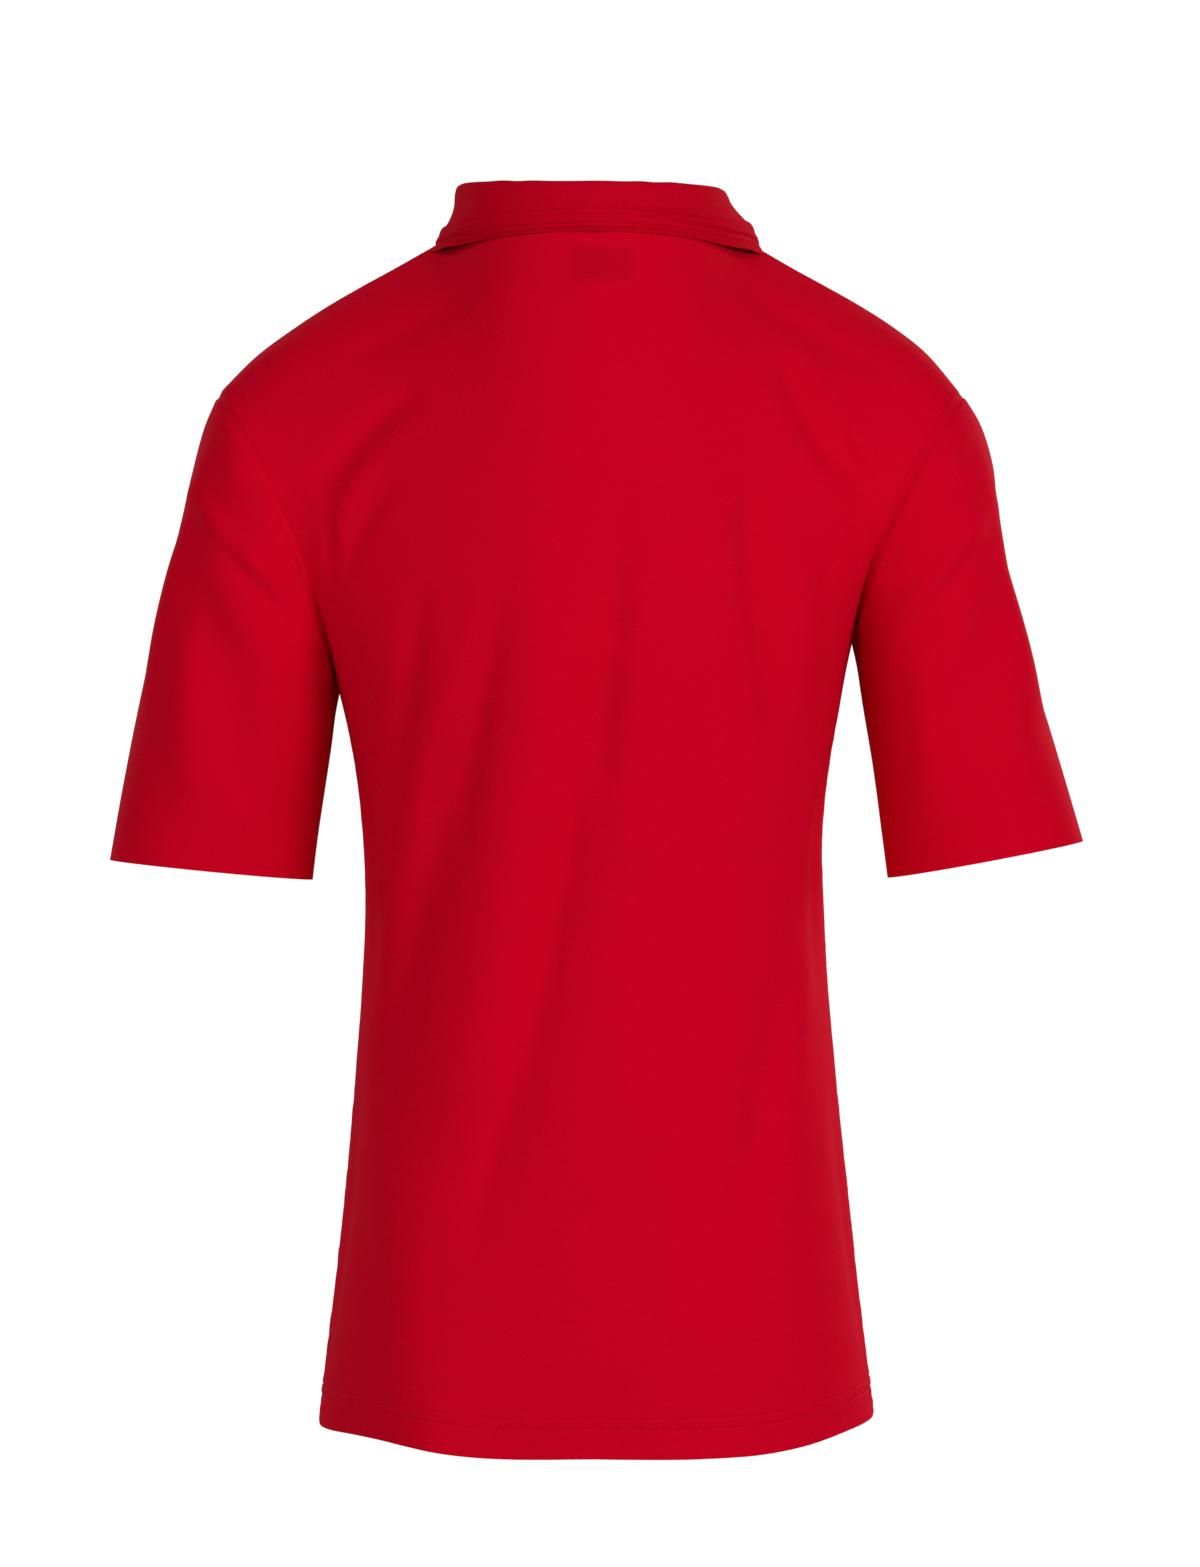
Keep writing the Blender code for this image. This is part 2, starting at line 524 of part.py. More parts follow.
def collar_half(side, back_rim, front_rim):
    """Middle points of half of the collar's wall and the direction of its base, from the centre back."""
    slot = slot_angle()
    end = 180 - math.degrees(math.asin(COLLAR_MEETS / NECK_HALF_WIDTH))
    angles = np.concatenate([
        [0.0],
        np.linspace(slot, 90, NECK_COLUMNS + 1),
        np.linspace(90, 180 - slot, NECK_COLUMNS + 1)[1:],
        [end],
    ])
    seam = neck_seam(angles, side)
    rim = np.concatenate([back_rim, front_rim])
    along_seam = unit(np.gradient(seam, axis=0))
    past = unit(np.cross(along_seam, rim))
    past *= np.sign(past[:, 2:3] + 1e-9)
    base = seam - rim * PIQUE / 2 + past * COLLAR_GAP

    outwards = np.stack([seam[:, 0] / NECK_HALF_WIDTH**2, seam[:, 1] / NECK_BACK**2, 0 * angles], axis=1)
    outwards = unit(outwards)
    values = read(COLLAR, angles)
    stand, edge = values[:, 0:1], values[:, 1:] * np.array([side, 1, 1])
    stand = stand - COLLAR_DIP[side] * np.sin(np.radians(angles))[:, None] ** 2
    lean = COLLAR_LEAN[side] * np.sin(np.radians(np.minimum(angles, 90)))[:, None]
    upright = unit(np.array([0, 0, 1.0]) - outwards * lean)
    rise = unit(mix(upright, past, step(*COLLAR_OPENS, angles)[:, None]))
    beside = unit(outwards - rise * (outwards * rise).sum(axis=1, keepdims=True))

    rows = [base + rise * stand * share for share in STAND_SHARES]
    top = rows[-1]
    for turn in np.linspace(0, math.pi, ROLL_ROWS + 1)[1:]:
        rows.append(top + ROLL_RADIUS * ((1 - math.cos(turn)) * beside + math.sin(turn) * rise))
    start = rows[-1]
    length = np.linalg.norm(edge - start, axis=1, keepdims=True)
    bend = start - rise * length * FALL_STIFFNESS
    zero = 0 * length
    first_ridge = RIDGES[-1] + RIDGE_HALF_PITCH
    to_edge = [mix(length, first_ridge, share) for share in FALL_SHARES]
    to_edge += [zero + first_ridge]
    for ridge in RIDGES[::-1]:
        to_edge += [zero + ridge, zero + ridge - RIDGE_HALF_PITCH]
    to_edge[-1] = zero
    for distance in to_edge:
        share = 1 - distance / length
        rows.append((1 - share) ** 2 * start + 2 * share * (1 - share) * bend + share**2 * edge)
    return np.array(rows), rim


def clear_of(points, tree, distance):
    """Points that lie nearer than this to the cloth under them, moved out along its normal."""
    moved = points.copy()
    for index in np.ndindex(points.shape[:-1]):
        near, facing = tree.find_nearest(Vector(points[index]))[:2]
        height = (Vector(points[index]) - near).dot(facing)
        if height < distance:
            moved[index] += np.array(facing) * (distance - height)
    return moved


def outer_tree(grids):
    """The outer faces of some grids, each with its outward directions, as one tree to measure from."""
    points, faces = [], []
    for grid, out in grids:
        rows, columns = grid.shape[:2]
        index = np.arange(rows * columns).reshape(rows, columns) + len(points)
        cells = np.stack([index[:-1, :-1], index[1:, :-1], index[1:, 1:], index[:-1, 1:]], axis=-1)
        cells = cells.reshape(-1, 4)
        flat = grid.reshape(-1, 3)
        corners = flat[cells - len(points)]
        facing = np.cross(corners[:, 2] - corners[:, 0], corners[:, 3] - corners[:, 1])
        if (facing * out.reshape(-1, 3)[cells[:, 0] - len(points)]).sum() < 0:
            cells = cells[:, ::-1]
        points += flat.tolist()
        faces += cells.tolist()
    return BVHTree.FromPolygons(points, faces)


def collar(back_out, front_out, tree):
    """The collar: its stand, its roll and its fall round the neck seam, with knitted ridges by the edge."""
    middle = len(half_columns()) - 1
    halves = {}
    for side in (-1, 1):
        neck = [middle + side * k for k in range(NECK_COLUMNS + 2)]
        back_rim = back_out[0, neck]
        front_rim = front_out[0, neck[:-1]][::-1]
        halves[side] = collar_half(side, back_rim, front_rim)
    grid = np.concatenate([halves[-1][0][:, :0:-1], halves[1][0]], axis=1)
    rim = np.concatenate([halves[-1][1][:0:-1], halves[1][1]])
    over = len(STAND_SHARES) + ROLL_ROWS // 2
    grid[over:] = clear_of(grid[over:], tree, COLLAR_CLEAR)
    face = normals(grid)
    if face[-1, grid.shape[1] // 2, 1] > 0:
        face = -face
    face[0] = -rim
    raised = np.zeros(len(grid))
    raised[-2 * len(RIDGES) :: 2] = RIDGE_HEIGHT
    outer = grid + face * (RIB / 2 + raised[:, None, None])
    inner = grid - face * RIB / 2
    return wall("collar", outer, inner, material("rib_knit", COLLAR_RED, 0.9))


def polo_shirt():
    """Makes every piece of the shirt."""
    for old in list(bpy.data.objects):
        bpy.data.objects.remove(old, do_unlink=True)
    cloth = material("pique", RED, 0.85)

    back, back_out, front, front_out = body_panels()
    middle = len(half_columns()) - 1
    slot = np.zeros((front.shape[0] - 1, front.shape[1] - 1), bool)
    slot[:SLOT_ROWS, middle - 1 : middle + 1] = True
    wall("back", back, back - back_out * PIQUE, cloth)
    wall("front", front, front - front_out * PIQUE, cloth, missing=slot)

    for side, name in ((-1, "sleeve_left"), (1, "sleeve_right")):
        grid, out = sleeve(side, edge_ring(back_out, front_out, side))
        wall(name, grid, grid - out * PIQUE, cloth, loop=True)

    under_outer, under_inner = strip(front, front_out, SLOT_HALF_WIDTH - GAP, -PIQUE, PIQUE, -GAP)
    wall("placket_under", under_outer, under_inner, cloth)
    upper_outer, upper_inner = strip(front, front_out, SLOT_HALF_WIDTH + STRIP_LAP, GAP, PIQUE, STRIP_END)
    wall("placket_upper", upper_outer, upper_inner, cloth)

    for number, row in enumerate(BUTTON_ROWS, start=1):
        low = int(row)
        place = mix(upper_outer[low, 1], upper_outer[low + 1, 1], row - low)
        across = upper_outer[low, 2] - upper_outer[low, 0]
        down = upper_outer[low + 1, 1] - upper_outer[low, 1]
        outwards = unit(np.cross(across, down))
        outwards *= np.sign(outwards[1])
        button(f"button_{number}", place + outwards * GAP, outwards)

    tree = outer_tree([(back, back_out), (front, front_out), (upper_outer, upper_outer - upper_inner)])
    collar(back_out, front_out, tree)


polo_shirt()
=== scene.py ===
import math

import bpy
import numpy as np
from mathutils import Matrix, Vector


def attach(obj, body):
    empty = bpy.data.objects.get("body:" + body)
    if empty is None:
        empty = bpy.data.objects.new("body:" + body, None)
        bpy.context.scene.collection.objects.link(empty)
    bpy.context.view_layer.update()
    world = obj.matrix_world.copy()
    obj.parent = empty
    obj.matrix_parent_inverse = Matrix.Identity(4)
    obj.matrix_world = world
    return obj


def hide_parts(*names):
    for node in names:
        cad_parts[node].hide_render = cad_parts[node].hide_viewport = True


# A red pique polo shirt in the form it has when worn, with nobody in it. Lengths are metres, the back
# faces -Y, the wearer's left is at -X, and the origin is the middle of the neck opening.
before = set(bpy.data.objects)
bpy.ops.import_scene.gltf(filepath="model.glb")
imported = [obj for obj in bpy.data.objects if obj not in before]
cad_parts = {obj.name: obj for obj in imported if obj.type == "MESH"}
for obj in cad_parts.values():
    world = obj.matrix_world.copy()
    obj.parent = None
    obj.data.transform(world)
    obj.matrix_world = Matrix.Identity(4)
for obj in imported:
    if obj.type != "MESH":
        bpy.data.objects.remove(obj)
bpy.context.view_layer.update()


# Body. The back and the front are two panels of cotton pique, each cut whole from the shoulder to the hem.
# They are overlocked together along the shoulders and down the sides, and the hem is turned up once and
# sewn from outside with a twin needle.
CLOTH = 0.0010
NECK_HALF_WIDTH = 0.079
NECK_BACK, NECK_FRONT = 0.075, 0.066
NECK_HEIGHT = 0.003
NECK_BACK_DROP, NECK_FRONT_DROP = 0.006, 0.077
TIP = {-1: (-0.2257, 0.0, -0.0940), 1: (0.2196, 0.0, -0.0940)}
UNDERARM = {-1: (-0.1580, 0.0, -0.2680), 1: (0.1583, 0.0, -0.2380)}
ARMHOLE_DEPTH = 0.066
ARMHOLE_BOW = {-1: 0.012, 1: 0.018}
SLOT_HALF_WIDTH = 0.015
SLOT_ROWS = 8
YOKE_ROWS, SKIRT_ROWS = 10, 18
NECK_COLUMNS, SHOULDER_COLUMNS = 6, 7
SLOT_SHARE, NECK_SHARE = 0.10, 0.56
SIDE_ROUNDNESS, YOKE_ROUNDNESS = 2.3, 2.2
ROWS_BETWEEN, COLUMNS_BETWEEN = 7, 7  # fine rows and columns in each cell of the cut's own grid
HEM_ROWS = 34  # fine rows in the last cell, which holds the hem
STITCH_ROWS = (0.0172, 0.0235)  # of the twin needle, up from the hem's edge
HEM_DEPTH = 0.0255
HEM_PULLS = ((0.0040, 0.060), (0.0020, 0.028))  # how far it is drawn in, and from how high up
HEM_FALL = 0.0013  # of its edge below the cut's, where it is drawn in
EASE_PASSES = 200  # that even out the cloth beside the neck and under the arms
SEAM_DEPTHS = (0.0001, 0.0010)  # of the seams at the shoulder, and below it
SEAM_HALF_WIDTH = 0.0014
ARMHOLE_SINK = 0.0022  # of the body beside the lower half of the armhole

SHOULDER = (  # share of the way, height
    (0.000, 0.0030), (0.160, -0.0097), (0.330, -0.0238), (0.500, -0.0375), (0.716, -0.0578),
    (0.876, -0.0757), (1.000, -0.0940),
)
SHOULDER_LIFT = {-1: 0.0, 1: 0.0028}  # of the seam above that line, near the sleeve
BODY = (  # drop, left side, right side, back, front
    (0.238, 0.1583, 0.1583, 0.1330, 0.1420),
    (0.257, 0.1582, 0.1540, 0.1320, 0.1420),
    (0.275, 0.1566, 0.1514, 0.1300, 0.1415),
    (0.293, 0.1521, 0.1481, 0.1275, 0.1405),
    (0.330, 0.1451, 0.1413, 0.1215, 0.1380),
    (0.366, 0.1408, 0.1373, 0.1165, 0.1350),
    (0.402, 0.1386, 0.1380, 0.1135, 0.1330),
    (0.451, 0.1400, 0.1400, 0.1130, 0.1330),
    (0.499, 0.1440, 0.1446, 0.1155, 0.1340),
    (0.596, 0.1530, 0.1550, 0.1225, 0.1365),
    (0.644, 0.1585, 0.1602, 0.1255, 0.1375),
    (0.693, 0.1646, 0.1664, 0.1285, 0.1385),
    (0.717, 0.1668, 0.1690, 0.1295, 0.1390),
)
HEM_MIDDLE = {-1: -0.7228, 1: -0.7170}
HEM_RISE = (  # share of the half width, rise to the left, rise to the right
    (0.00, 0.0000, 0.0000), (0.40, 0.0002, -0.0006), (0.60, 0.0034, 0.0004),
    (0.75, 0.0062, 0.0032), (0.92, 0.0072, 0.0086), (1.00, 0.0060, 0.0112),
)
CENTRE = {  # share of the way from the neck seam to the underarm's level, y, z
    -1: (
        (0.00, -0.0750, -0.0030), (0.25, -0.0990, -0.0560), (0.50, -0.1200, -0.1180),
        (0.75, -0.1310, -0.1860), (1.00, -0.1325, -0.2540),
    ),
    1: (
        (0.00, 0.0660, -0.0740), (0.25, 0.0930, -0.1090), (0.50, 0.1180, -0.1520),
        (0.75, 0.1350, -0.2020), (1.00, 0.1420, -0.2560),
    ),
}

# The large folds of each panel, and the finer creases on them. A negative depth is a trough.
FOLDS = {  # start x, start z, end x, end z, sideways bend, half width, depth
    -1: (
        (-0.053, -0.205, -0.136, -0.540, 0.001, 0.016, -0.0072),
        (0.018, -0.150, -0.071, -0.615, -0.008, 0.017, -0.0066),
        (-0.020, -0.200, -0.086, -0.560, -0.002, 0.018, 0.0030),
        (0.108, -0.430, 0.078, -0.610, -0.006, 0.015, -0.0040),
        (0.070, -0.220, 0.050, -0.350, 0.000, 0.018, -0.0020),
        (-0.125, -0.520, -0.070, -0.940, 0.000, 0.030, 0.0080),
        (-0.118, 0.060, -0.118, -0.230, 0.000, 0.045, 0.0060),
    ),
    1: (
        (-0.140, -0.235, -0.060, -0.420, 0.016, 0.017, -0.0062),
        (-0.118, -0.220, -0.035, -0.340, 0.010, 0.016, 0.0042),
        (0.142, -0.215, 0.070, -0.400, -0.014, 0.018, -0.0059),
        (0.118, -0.205, 0.050, -0.330, -0.008, 0.015, 0.0039),
        (-0.030, -0.330, -0.085, -0.640, 0.010, 0.020, -0.0050),
        (0.045, -0.300, 0.092, -0.650, -0.012, 0.020, -0.0056),
        (0.008, -0.370, 0.012, -0.660, 0.006, 0.022, 0.0042),
        (-0.115, -0.080, -0.168, -0.150, -0.008, 0.012, -0.0039),
        (0.118, -0.078, 0.166, -0.146, 0.008, 0.012, -0.0042),
    ),
}
CREASES = {
    -1: (
        (-0.052, -0.215, -0.084, -0.390, 0.001, 0.0080, -0.0022),
        (-0.084, -0.340, -0.130, -0.520, 0.001, 0.0080, -0.0020),
        (-0.064, -0.210, -0.090, -0.300, 0.001, 0.0060, 0.0010),
        (-0.086, -0.245, -0.138, -0.470, -0.003, 0.0120, 0.0024),
        (0.014, -0.170, 0.000, -0.350, -0.002, 0.0080, -0.0024),
        (-0.006, -0.320, -0.048, -0.520, -0.002, 0.0085, -0.0022),
        (-0.042, -0.480, -0.074, -0.610, 0.001, 0.0070, -0.0018),
        (0.030, -0.200, 0.018, -0.330, -0.001, 0.0090, 0.0010),
        (-0.101, -0.212, -0.124, -0.350, -0.003, 0.0090, -0.0034),
        (0.089, -0.145, 0.112, -0.325, 0.003, 0.0110, -0.0056),
        (0.088, -0.160, 0.108, -0.300, 0.003, 0.0060, -0.0012),
        (0.066, -0.180, 0.080, -0.330, 0.003, 0.0100, 0.0014),
        (0.122, -0.200, 0.122, -0.300, 0.000, 0.0085, 0.0032),
        (0.135, -0.196, 0.139, -0.250, 0.000, 0.0050, -0.0022),
        (0.108, -0.450, 0.080, -0.590, -0.004, 0.0080, -0.0018),
        (0.124, -0.420, 0.110, -0.550, -0.003, 0.0090, 0.0020),
        (0.054, -0.400, 0.030, -0.560, 0.003, 0.0100, -0.0010),
        (-0.102, -0.100, -0.168, -0.162, 0.005, 0.0080, -0.0046),
        (-0.122, -0.135, -0.156, -0.196, 0.006, 0.0060, 0.0026),
        (-0.113, -0.152, -0.147, -0.212, 0.006, 0.0055, -0.0020),
        (-0.156, -0.172, -0.157, -0.216, 0.000, 0.0040, -0.0020),
        (-0.060, -0.030, -0.150, -0.078, -0.004, 0.0090, -0.0020),
        (0.074, -0.022, 0.180, -0.090, 0.004, 0.0090, -0.0028),
        (0.110, -0.078, 0.166, -0.168, 0.006, 0.0080, -0.0050),
        (0.124, -0.070, 0.174, -0.148, 0.006, 0.0060, 0.0022),
        (0.094, -0.085, 0.142, -0.170, 0.006, 0.0090, 0.0016),
        (0.138, -0.100, 0.177, -0.176, 0.005, 0.0055, -0.0034),
        (0.154, -0.170, 0.160, -0.212, 0.000, 0.0040, -0.0018),
        (-0.146, -0.560, -0.122, -0.650, 0.002, 0.0080, -0.0014),
        (0.020, -0.655, 0.090, -0.668, 0.002, 0.0060, -0.0008),
    ),
    1: (
        (-0.142, -0.236, -0.080, -0.390, 0.010, 0.0080, -0.0045),
        (-0.128, -0.232, -0.066, -0.360, 0.010, 0.0080, 0.0025),
        (0.140, -0.220, 0.088, -0.370, -0.008, 0.0080, -0.0046),
        (0.124, -0.214, 0.070, -0.350, -0.008, 0.0080, 0.0027),
        (-0.036, -0.350, -0.080, -0.580, 0.006, 0.0090, -0.0038),
        (-0.018, -0.360, -0.052, -0.560, 0.006, 0.0090, 0.0021),
        (0.050, -0.330, 0.090, -0.590, -0.006, 0.0090, -0.0041),
        (0.030, -0.380, 0.058, -0.600, -0.004, 0.0095, 0.0022),
        (-0.108, -0.080, -0.166, -0.150, -0.004, 0.0065, -0.0038),
        (-0.130, -0.110, -0.160, -0.176, -0.004, 0.0050, 0.0021),
        (0.112, -0.078, 0.164, -0.146, 0.004, 0.0065, -0.0035),
        (0.132, -0.108, 0.160, -0.168, 0.004, 0.0050, 0.0021),
        (-0.130, -0.490, -0.112, -0.650, 0.002, 0.0090, -0.0029),
        (0.128, -0.430, 0.134, -0.590, 0.002, 0.0090, -0.0027),
        (0.016, -0.470, 0.010, -0.660, 0.003, 0.0090, -0.0021),
        (-0.060, -0.120, -0.098, -0.240, 0.004, 0.0100, -0.0021),
        (0.064, -0.130, 0.092, -0.260, -0.004, 0.0100, -0.0022),
    ),
}
SIDE_CREASES = (  # start y, start z, end y, end z, and the rest as above
    (-0.020, -0.290, -0.046, -0.470, 0.006, 0.0120, -0.0044),
    (0.022, -0.300, 0.050, -0.520, -0.006, 0.0130, -0.0046),
    (0.002, -0.340, -0.010, -0.520, 0.004, 0.0110, 0.0012),
    (-0.036, -0.500, -0.024, -0.690, 0.004, 0.0140, -0.0034),
    (0.040, -0.540, 0.030, -0.700, -0.004, 0.0140, -0.0038),
)


def mix(start, end, share):
    """The value at a share of the way from start to end."""
    return start + (end - start) * share


def unit(vectors):
    """The same directions with a length of 1."""
    return vectors / np.linalg.norm(vectors, axis=-1, keepdims=True)


def step(low, high, value):
    """0 below low, 1 above high, and between them three times the share squared less twice its cube."""
    share = np.clip((value - low) / (high - low), 0, 1)
    return share * share * (3 - 2 * share)


def hermite(values, knots, places):
    """Values at these places of a curve through all the knots. Its slope at a knot is the weighted
    mean of the slopes on both sides."""
    slopes = np.gradient(values, knots, axis=0)
    first = np.clip(np.searchsorted(knots, places) - 1, 0, len(knots) - 2)
    shape = (-1,) + (1,) * (values.ndim - 1)
    length = (knots[first + 1] - knots[first]).reshape(shape)
    share = (places - knots[first]).reshape(shape) / length
    rest = 1 - share
    ends = (1 + 2 * share) * rest**2 * values[first] + (3 - 2 * share) * share**2 * values[first + 1]
    return ends + length * share * rest * (rest * slopes[first] - share * slopes[first + 1])


def read(table, places):
    """A table's columns at these values of its first column."""
    rows = np.array(table, float)
    places = np.clip(np.atleast_1d(places), rows[0, 0], rows[-1, 0])
    return hermite(rows[:, 1:], rows[:, 0], places)


def normals(grid, loop=False):
    """Unit normals of a grid: the cross product of its slope down the rows and its slope across."""
    down = np.gradient(grid, axis=0)
    if loop:
        across = (np.roll(grid, -1, axis=1) - np.roll(grid, 1, axis=1)) / 2
    else:
        across = np.gradient(grid, axis=1)
    return unit(np.cross(down, across))


def fold(points, folds):
    """How far each point moves along its normal: the sum of a bell curve across each fold's line, which
    bends sideways as a parabola, times a sine along it."""
    moved = np.zeros(points.shape[:-1])
    for start_x, start_z, end_x, end_z, bend, half_width, depth in folds:
        length = math.hypot(end_x - start_x, end_z - start_z)
        along_x, along_z = (end_x - start_x) / length, (end_z - start_z) / length
        x, z = points[..., 0] - start_x, points[..., 2] - start_z
        share = np.clip((x * along_x + z * along_z) / length, 0, 1)
        beside = x * along_z - z * along_x - bend * 4 * share * (1 - share)
        moved += depth * np.exp(-((beside / half_width) ** 2)) * np.sin(math.pi * share) ** 0.8
    return moved


def neck_seam(degrees, side):
    """Points of the neck seam by the degrees from the centre back: an ellipse that drops by a power of
    the cosine towards the back and the front."""
    angle = np.radians(degrees)
    front = np.cos(angle) < 0
    reach = np.where(front, NECK_FRONT, NECK_BACK)
    along = np.abs(np.cos(angle))
    drop = np.where(front, NECK_FRONT_DROP * along**1.4, NECK_BACK_DROP * along**2)
    x = side * NECK_HALF_WIDTH * np.sin(angle)
    return np.stack([x, -reach * np.cos(angle), NECK_HEIGHT - drop], axis=-1)


def armhole(face, side, share):
    """Points of an armhole's seam: half an ellipse on the chord from the shoulder's tip to the underarm,
    bowed towards the body by a squared sine."""
    turn = (math.pi * share)[:, None]
    seam = mix(np.array(TIP[side]), np.array(UNDERARM[side]), (1 - np.cos(turn)) / 2)
    seam[:, 1:2] += face * ARMHOLE_DEPTH * np.sin(turn) ** 0.9
    seam[:, 0:1] -= side * ARMHOLE_BOW[face] * np.sin(turn) ** 2
    return seam


def half_columns():
    """Shares of the half width at which the columns stand, even over the neck and closer at the side."""
    neck = np.linspace(SLOT_SHARE, NECK_SHARE, NECK_COLUMNS + 1)
    shoulder = np.sin(np.linspace(math.asin(NECK_SHARE), math.pi / 2, SHOULDER_COLUMNS + 1))[1:]
    return np.concatenate([[0.0], neck, shoulder])


def top_edge(face, side):
    """Points of a panel's top edge: half of the neck seam, then the shoulder seam."""
    slot = math.degrees(math.asin(SLOT_HALF_WIDTH / NECK_HALF_WIDTH))
    angles = np.concatenate([[0.0], np.linspace(slot, 90, NECK_COLUMNS + 1)])
    if face > 0:
        angles = 180 - angles
    share = np.linspace(0, 1, SHOULDER_COLUMNS + 1)[1:]
    seam = np.zeros((SHOULDER_COLUMNS, 3))
    seam[:, 0] = mix(side * NECK_HALF_WIDTH, TIP[side][0], share)
    seam[:, 2] = read(SHOULDER, share)[:, 0] + SHOULDER_LIFT[side] * np.sin(math.pi * share**3)
    return np.concatenate([neck_seam(angles, side), seam])


def half_panel(face, side):
    """Half of the back or front. Across, y falls from the centre line to the edge on a power curve, which
    is rounder below the underarm. Down, the rows pass from the top edge to the hem."""
    share = np.linspace(0, 1, YOKE_ROWS + 1)
    yoke_middle = read(CENTRE[face], share)
    down = np.linspace(0, 1, SKIRT_ROWS + 1)[1:]
    out = half_columns()[None, :]
    hem = HEM_MIDDLE[-1] + read(HEM_RISE, out[0])[:, 0 if side < 0 else 1]
    hem += (HEM_MIDDLE[face] - HEM_MIDDLE[-1]) * (1 - out[0] ** 2)
    side_z = mix(UNDERARM[side][2], hem[-1], down)
    middle_z = mix(yoke_middle[-1, 1], hem[0], down)
    side_x = side * read(BODY, -side_z)[:, 0 if side < 0 else 1]
    middle_y = face * read(BODY, -middle_z)[:, 2 if face < 0 else 3]

    side_seam = np.stack([side_x, 0 * side_x, side_z], axis=1)
    edge = np.concatenate([armhole(face, side, share), side_seam])[:, None]
    middle = np.concatenate([yoke_middle, np.stack([middle_y, middle_z], axis=1)])[:, None]
    round_share = step(0.3, 1.0, np.concatenate([share, 1 + down]))[:, None]
    flat = 1 - out**YOKE_ROUNDNESS
    rounded = np.maximum(1 - out**SIDE_ROUNDNESS, 0) ** (1 / SIDE_ROUNDNESS)
    grid = np.empty((len(edge), out.shape[1], 3))
    grid[..., 0] = edge[..., 0] * out
    grid[..., 1] = mix(edge[..., 1], middle[..., 0], mix(flat, rounded, round_share))
    grid[..., 2] = mix(middle[..., 1], edge[..., 2], out**2)
    grid[YOKE_ROWS + 1 :, :, 2] = mix(grid[YOKE_ROWS, :, 2], hem, down[:, None])
    lift = top_edge(face, side) - grid[0]
    for row, near_top in enumerate((1 - share) ** 2):
        grid[row] += near_top * lift
        lift[1:-1] = (lift[:-2] + 2 * lift[1:-1] + lift[2:]) / 4
    grid[:, 1, 0] = side * SLOT_HALF_WIDTH
    return grid


def panel(face):
    """The whole back or front with its large folds, its outward directions, and the same without folds."""
    left, right = half_panel(face, -1), half_panel(face, 1)
    plain = np.concatenate([left[:, :0:-1], right], axis=1)
    columns = half_columns()
    out = np.concatenate([columns[:0:-1], columns])
    rows = np.arange(len(plain))[:, None]
    calm = (1 - out**6) * step(0, 3, rows)
    middle = np.abs(plain[..., 0]) < 1.5 * SLOT_HALF_WIDTH
    calm = np.where((face > 0) & middle & (rows <= SLOT_ROWS + 1), 0, calm)
    grid = plain - face * normals(plain) * (fold(plain, FOLDS[face]) * calm)[..., None]
    return grid, -face * normals(grid), plain


def refined(grid, rows, columns, loop=False):
    """A grid's points at fractional rows and columns, on Hermite curves down its columns and then across
    its rows. Their knots stand as far apart as the rows or columns do on average."""
    if loop:
        grid = np.concatenate([grid[:, -2:], grid, grid[:, :3]], axis=1)
        columns = columns + 2
    for places in (rows, columns):
        gaps = np.linalg.norm(np.diff(grid, axis=0), axis=-1).mean(axis=1)
        knots = np.concatenate([[0.0], np.cumsum(gaps)])
        grid = hermite(grid, knots, np.interp(places, np.arange(len(knots)), knots)).swapaxes(0, 1)
    return grid


def relaxed(grid, ease, passes):
    """The grid after some passes, each of which moves every inner point by its own share of the way to the
    mean of the four points beside it."""
    grid = grid.copy()
    for _ in range(passes):
        mean = (grid[:-2, 1:-1] + grid[2:, 1:-1] + grid[1:-1, :-2] + grid[1:-1, 2:]) / 4
        grid[1:-1, 1:-1] += ease[1:-1, 1:-1, None] * (mean - grid[1:-1, 1:-1])
    return grid


def run_down(grid):
    """Each point's distance from the first row, summed down its column."""
    lengths = np.linalg.norm(np.diff(grid, axis=0), axis=-1)
    return np.concatenate([np.zeros((1, grid.shape[1])), np.cumsum(lengths, axis=0)])


def run_across(grid):
    """Each point's distance from the first column, summed along its row."""
    return run_down(grid.swapaxes(0, 1)).T


def flat_places(grid):
    """Where each point lies on the flat cloth: its run across from the middle without its drop, and its
    run down without its shift sideways."""
    across = run_across(grid * (1, 1, 0))
    across -= across[:, across.shape[1] // 2][:, None]
    down = run_down(grid * (0, 1, 1)) - grid[0, :, 2]
    return np.stack([across, down], axis=-1)


def ripple(along, spacing, phase):
    """An uneven ripple from -1 to 1: a sine whose own phase and strength drift on two slower sines."""
    turn = 2 * math.pi * along / spacing + phase
    drift = 1.3 * np.sin(turn * 0.37 + 1.0) + 0.7 * np.sin(turn * 0.173 + 2.0)
    return np.sin(turn + drift) * (0.65 + 0.35 * np.sin(turn * 0.29 + phase))


def bell(distance, half_width):
    """A bell curve of the distance, 1 at 0."""
    return np.exp(-((distance / half_width) ** 2))


def hem_relief(to_edge, along, phase):
    """How far a twin-needle hem stands out: a turning that is a little thicker, two sunk rows of stitches,
    a rounded edge, and slanting ripples between the stitches."""
    turned = step(HEM_DEPTH + 0.0012, HEM_DEPTH - 0.0008, to_edge)
    sunk = sum(bell(to_edge - row, 0.0012) for row in STITCH_ROWS)
    ripples = ripple(along + 0.6 * to_edge, 0.0085, phase) * turned
    return 0.00040 * turned - 0.00060 * sunk + 0.00014 * ripples - 0.0005 * bell(to_edge, 0.0012)


def linked(name, data):
    """A mesh, light or camera as an object at the origin."""
    item = bpy.data.objects.new(name, data)
    bpy.context.scene.collection.objects.link(item)
    return item


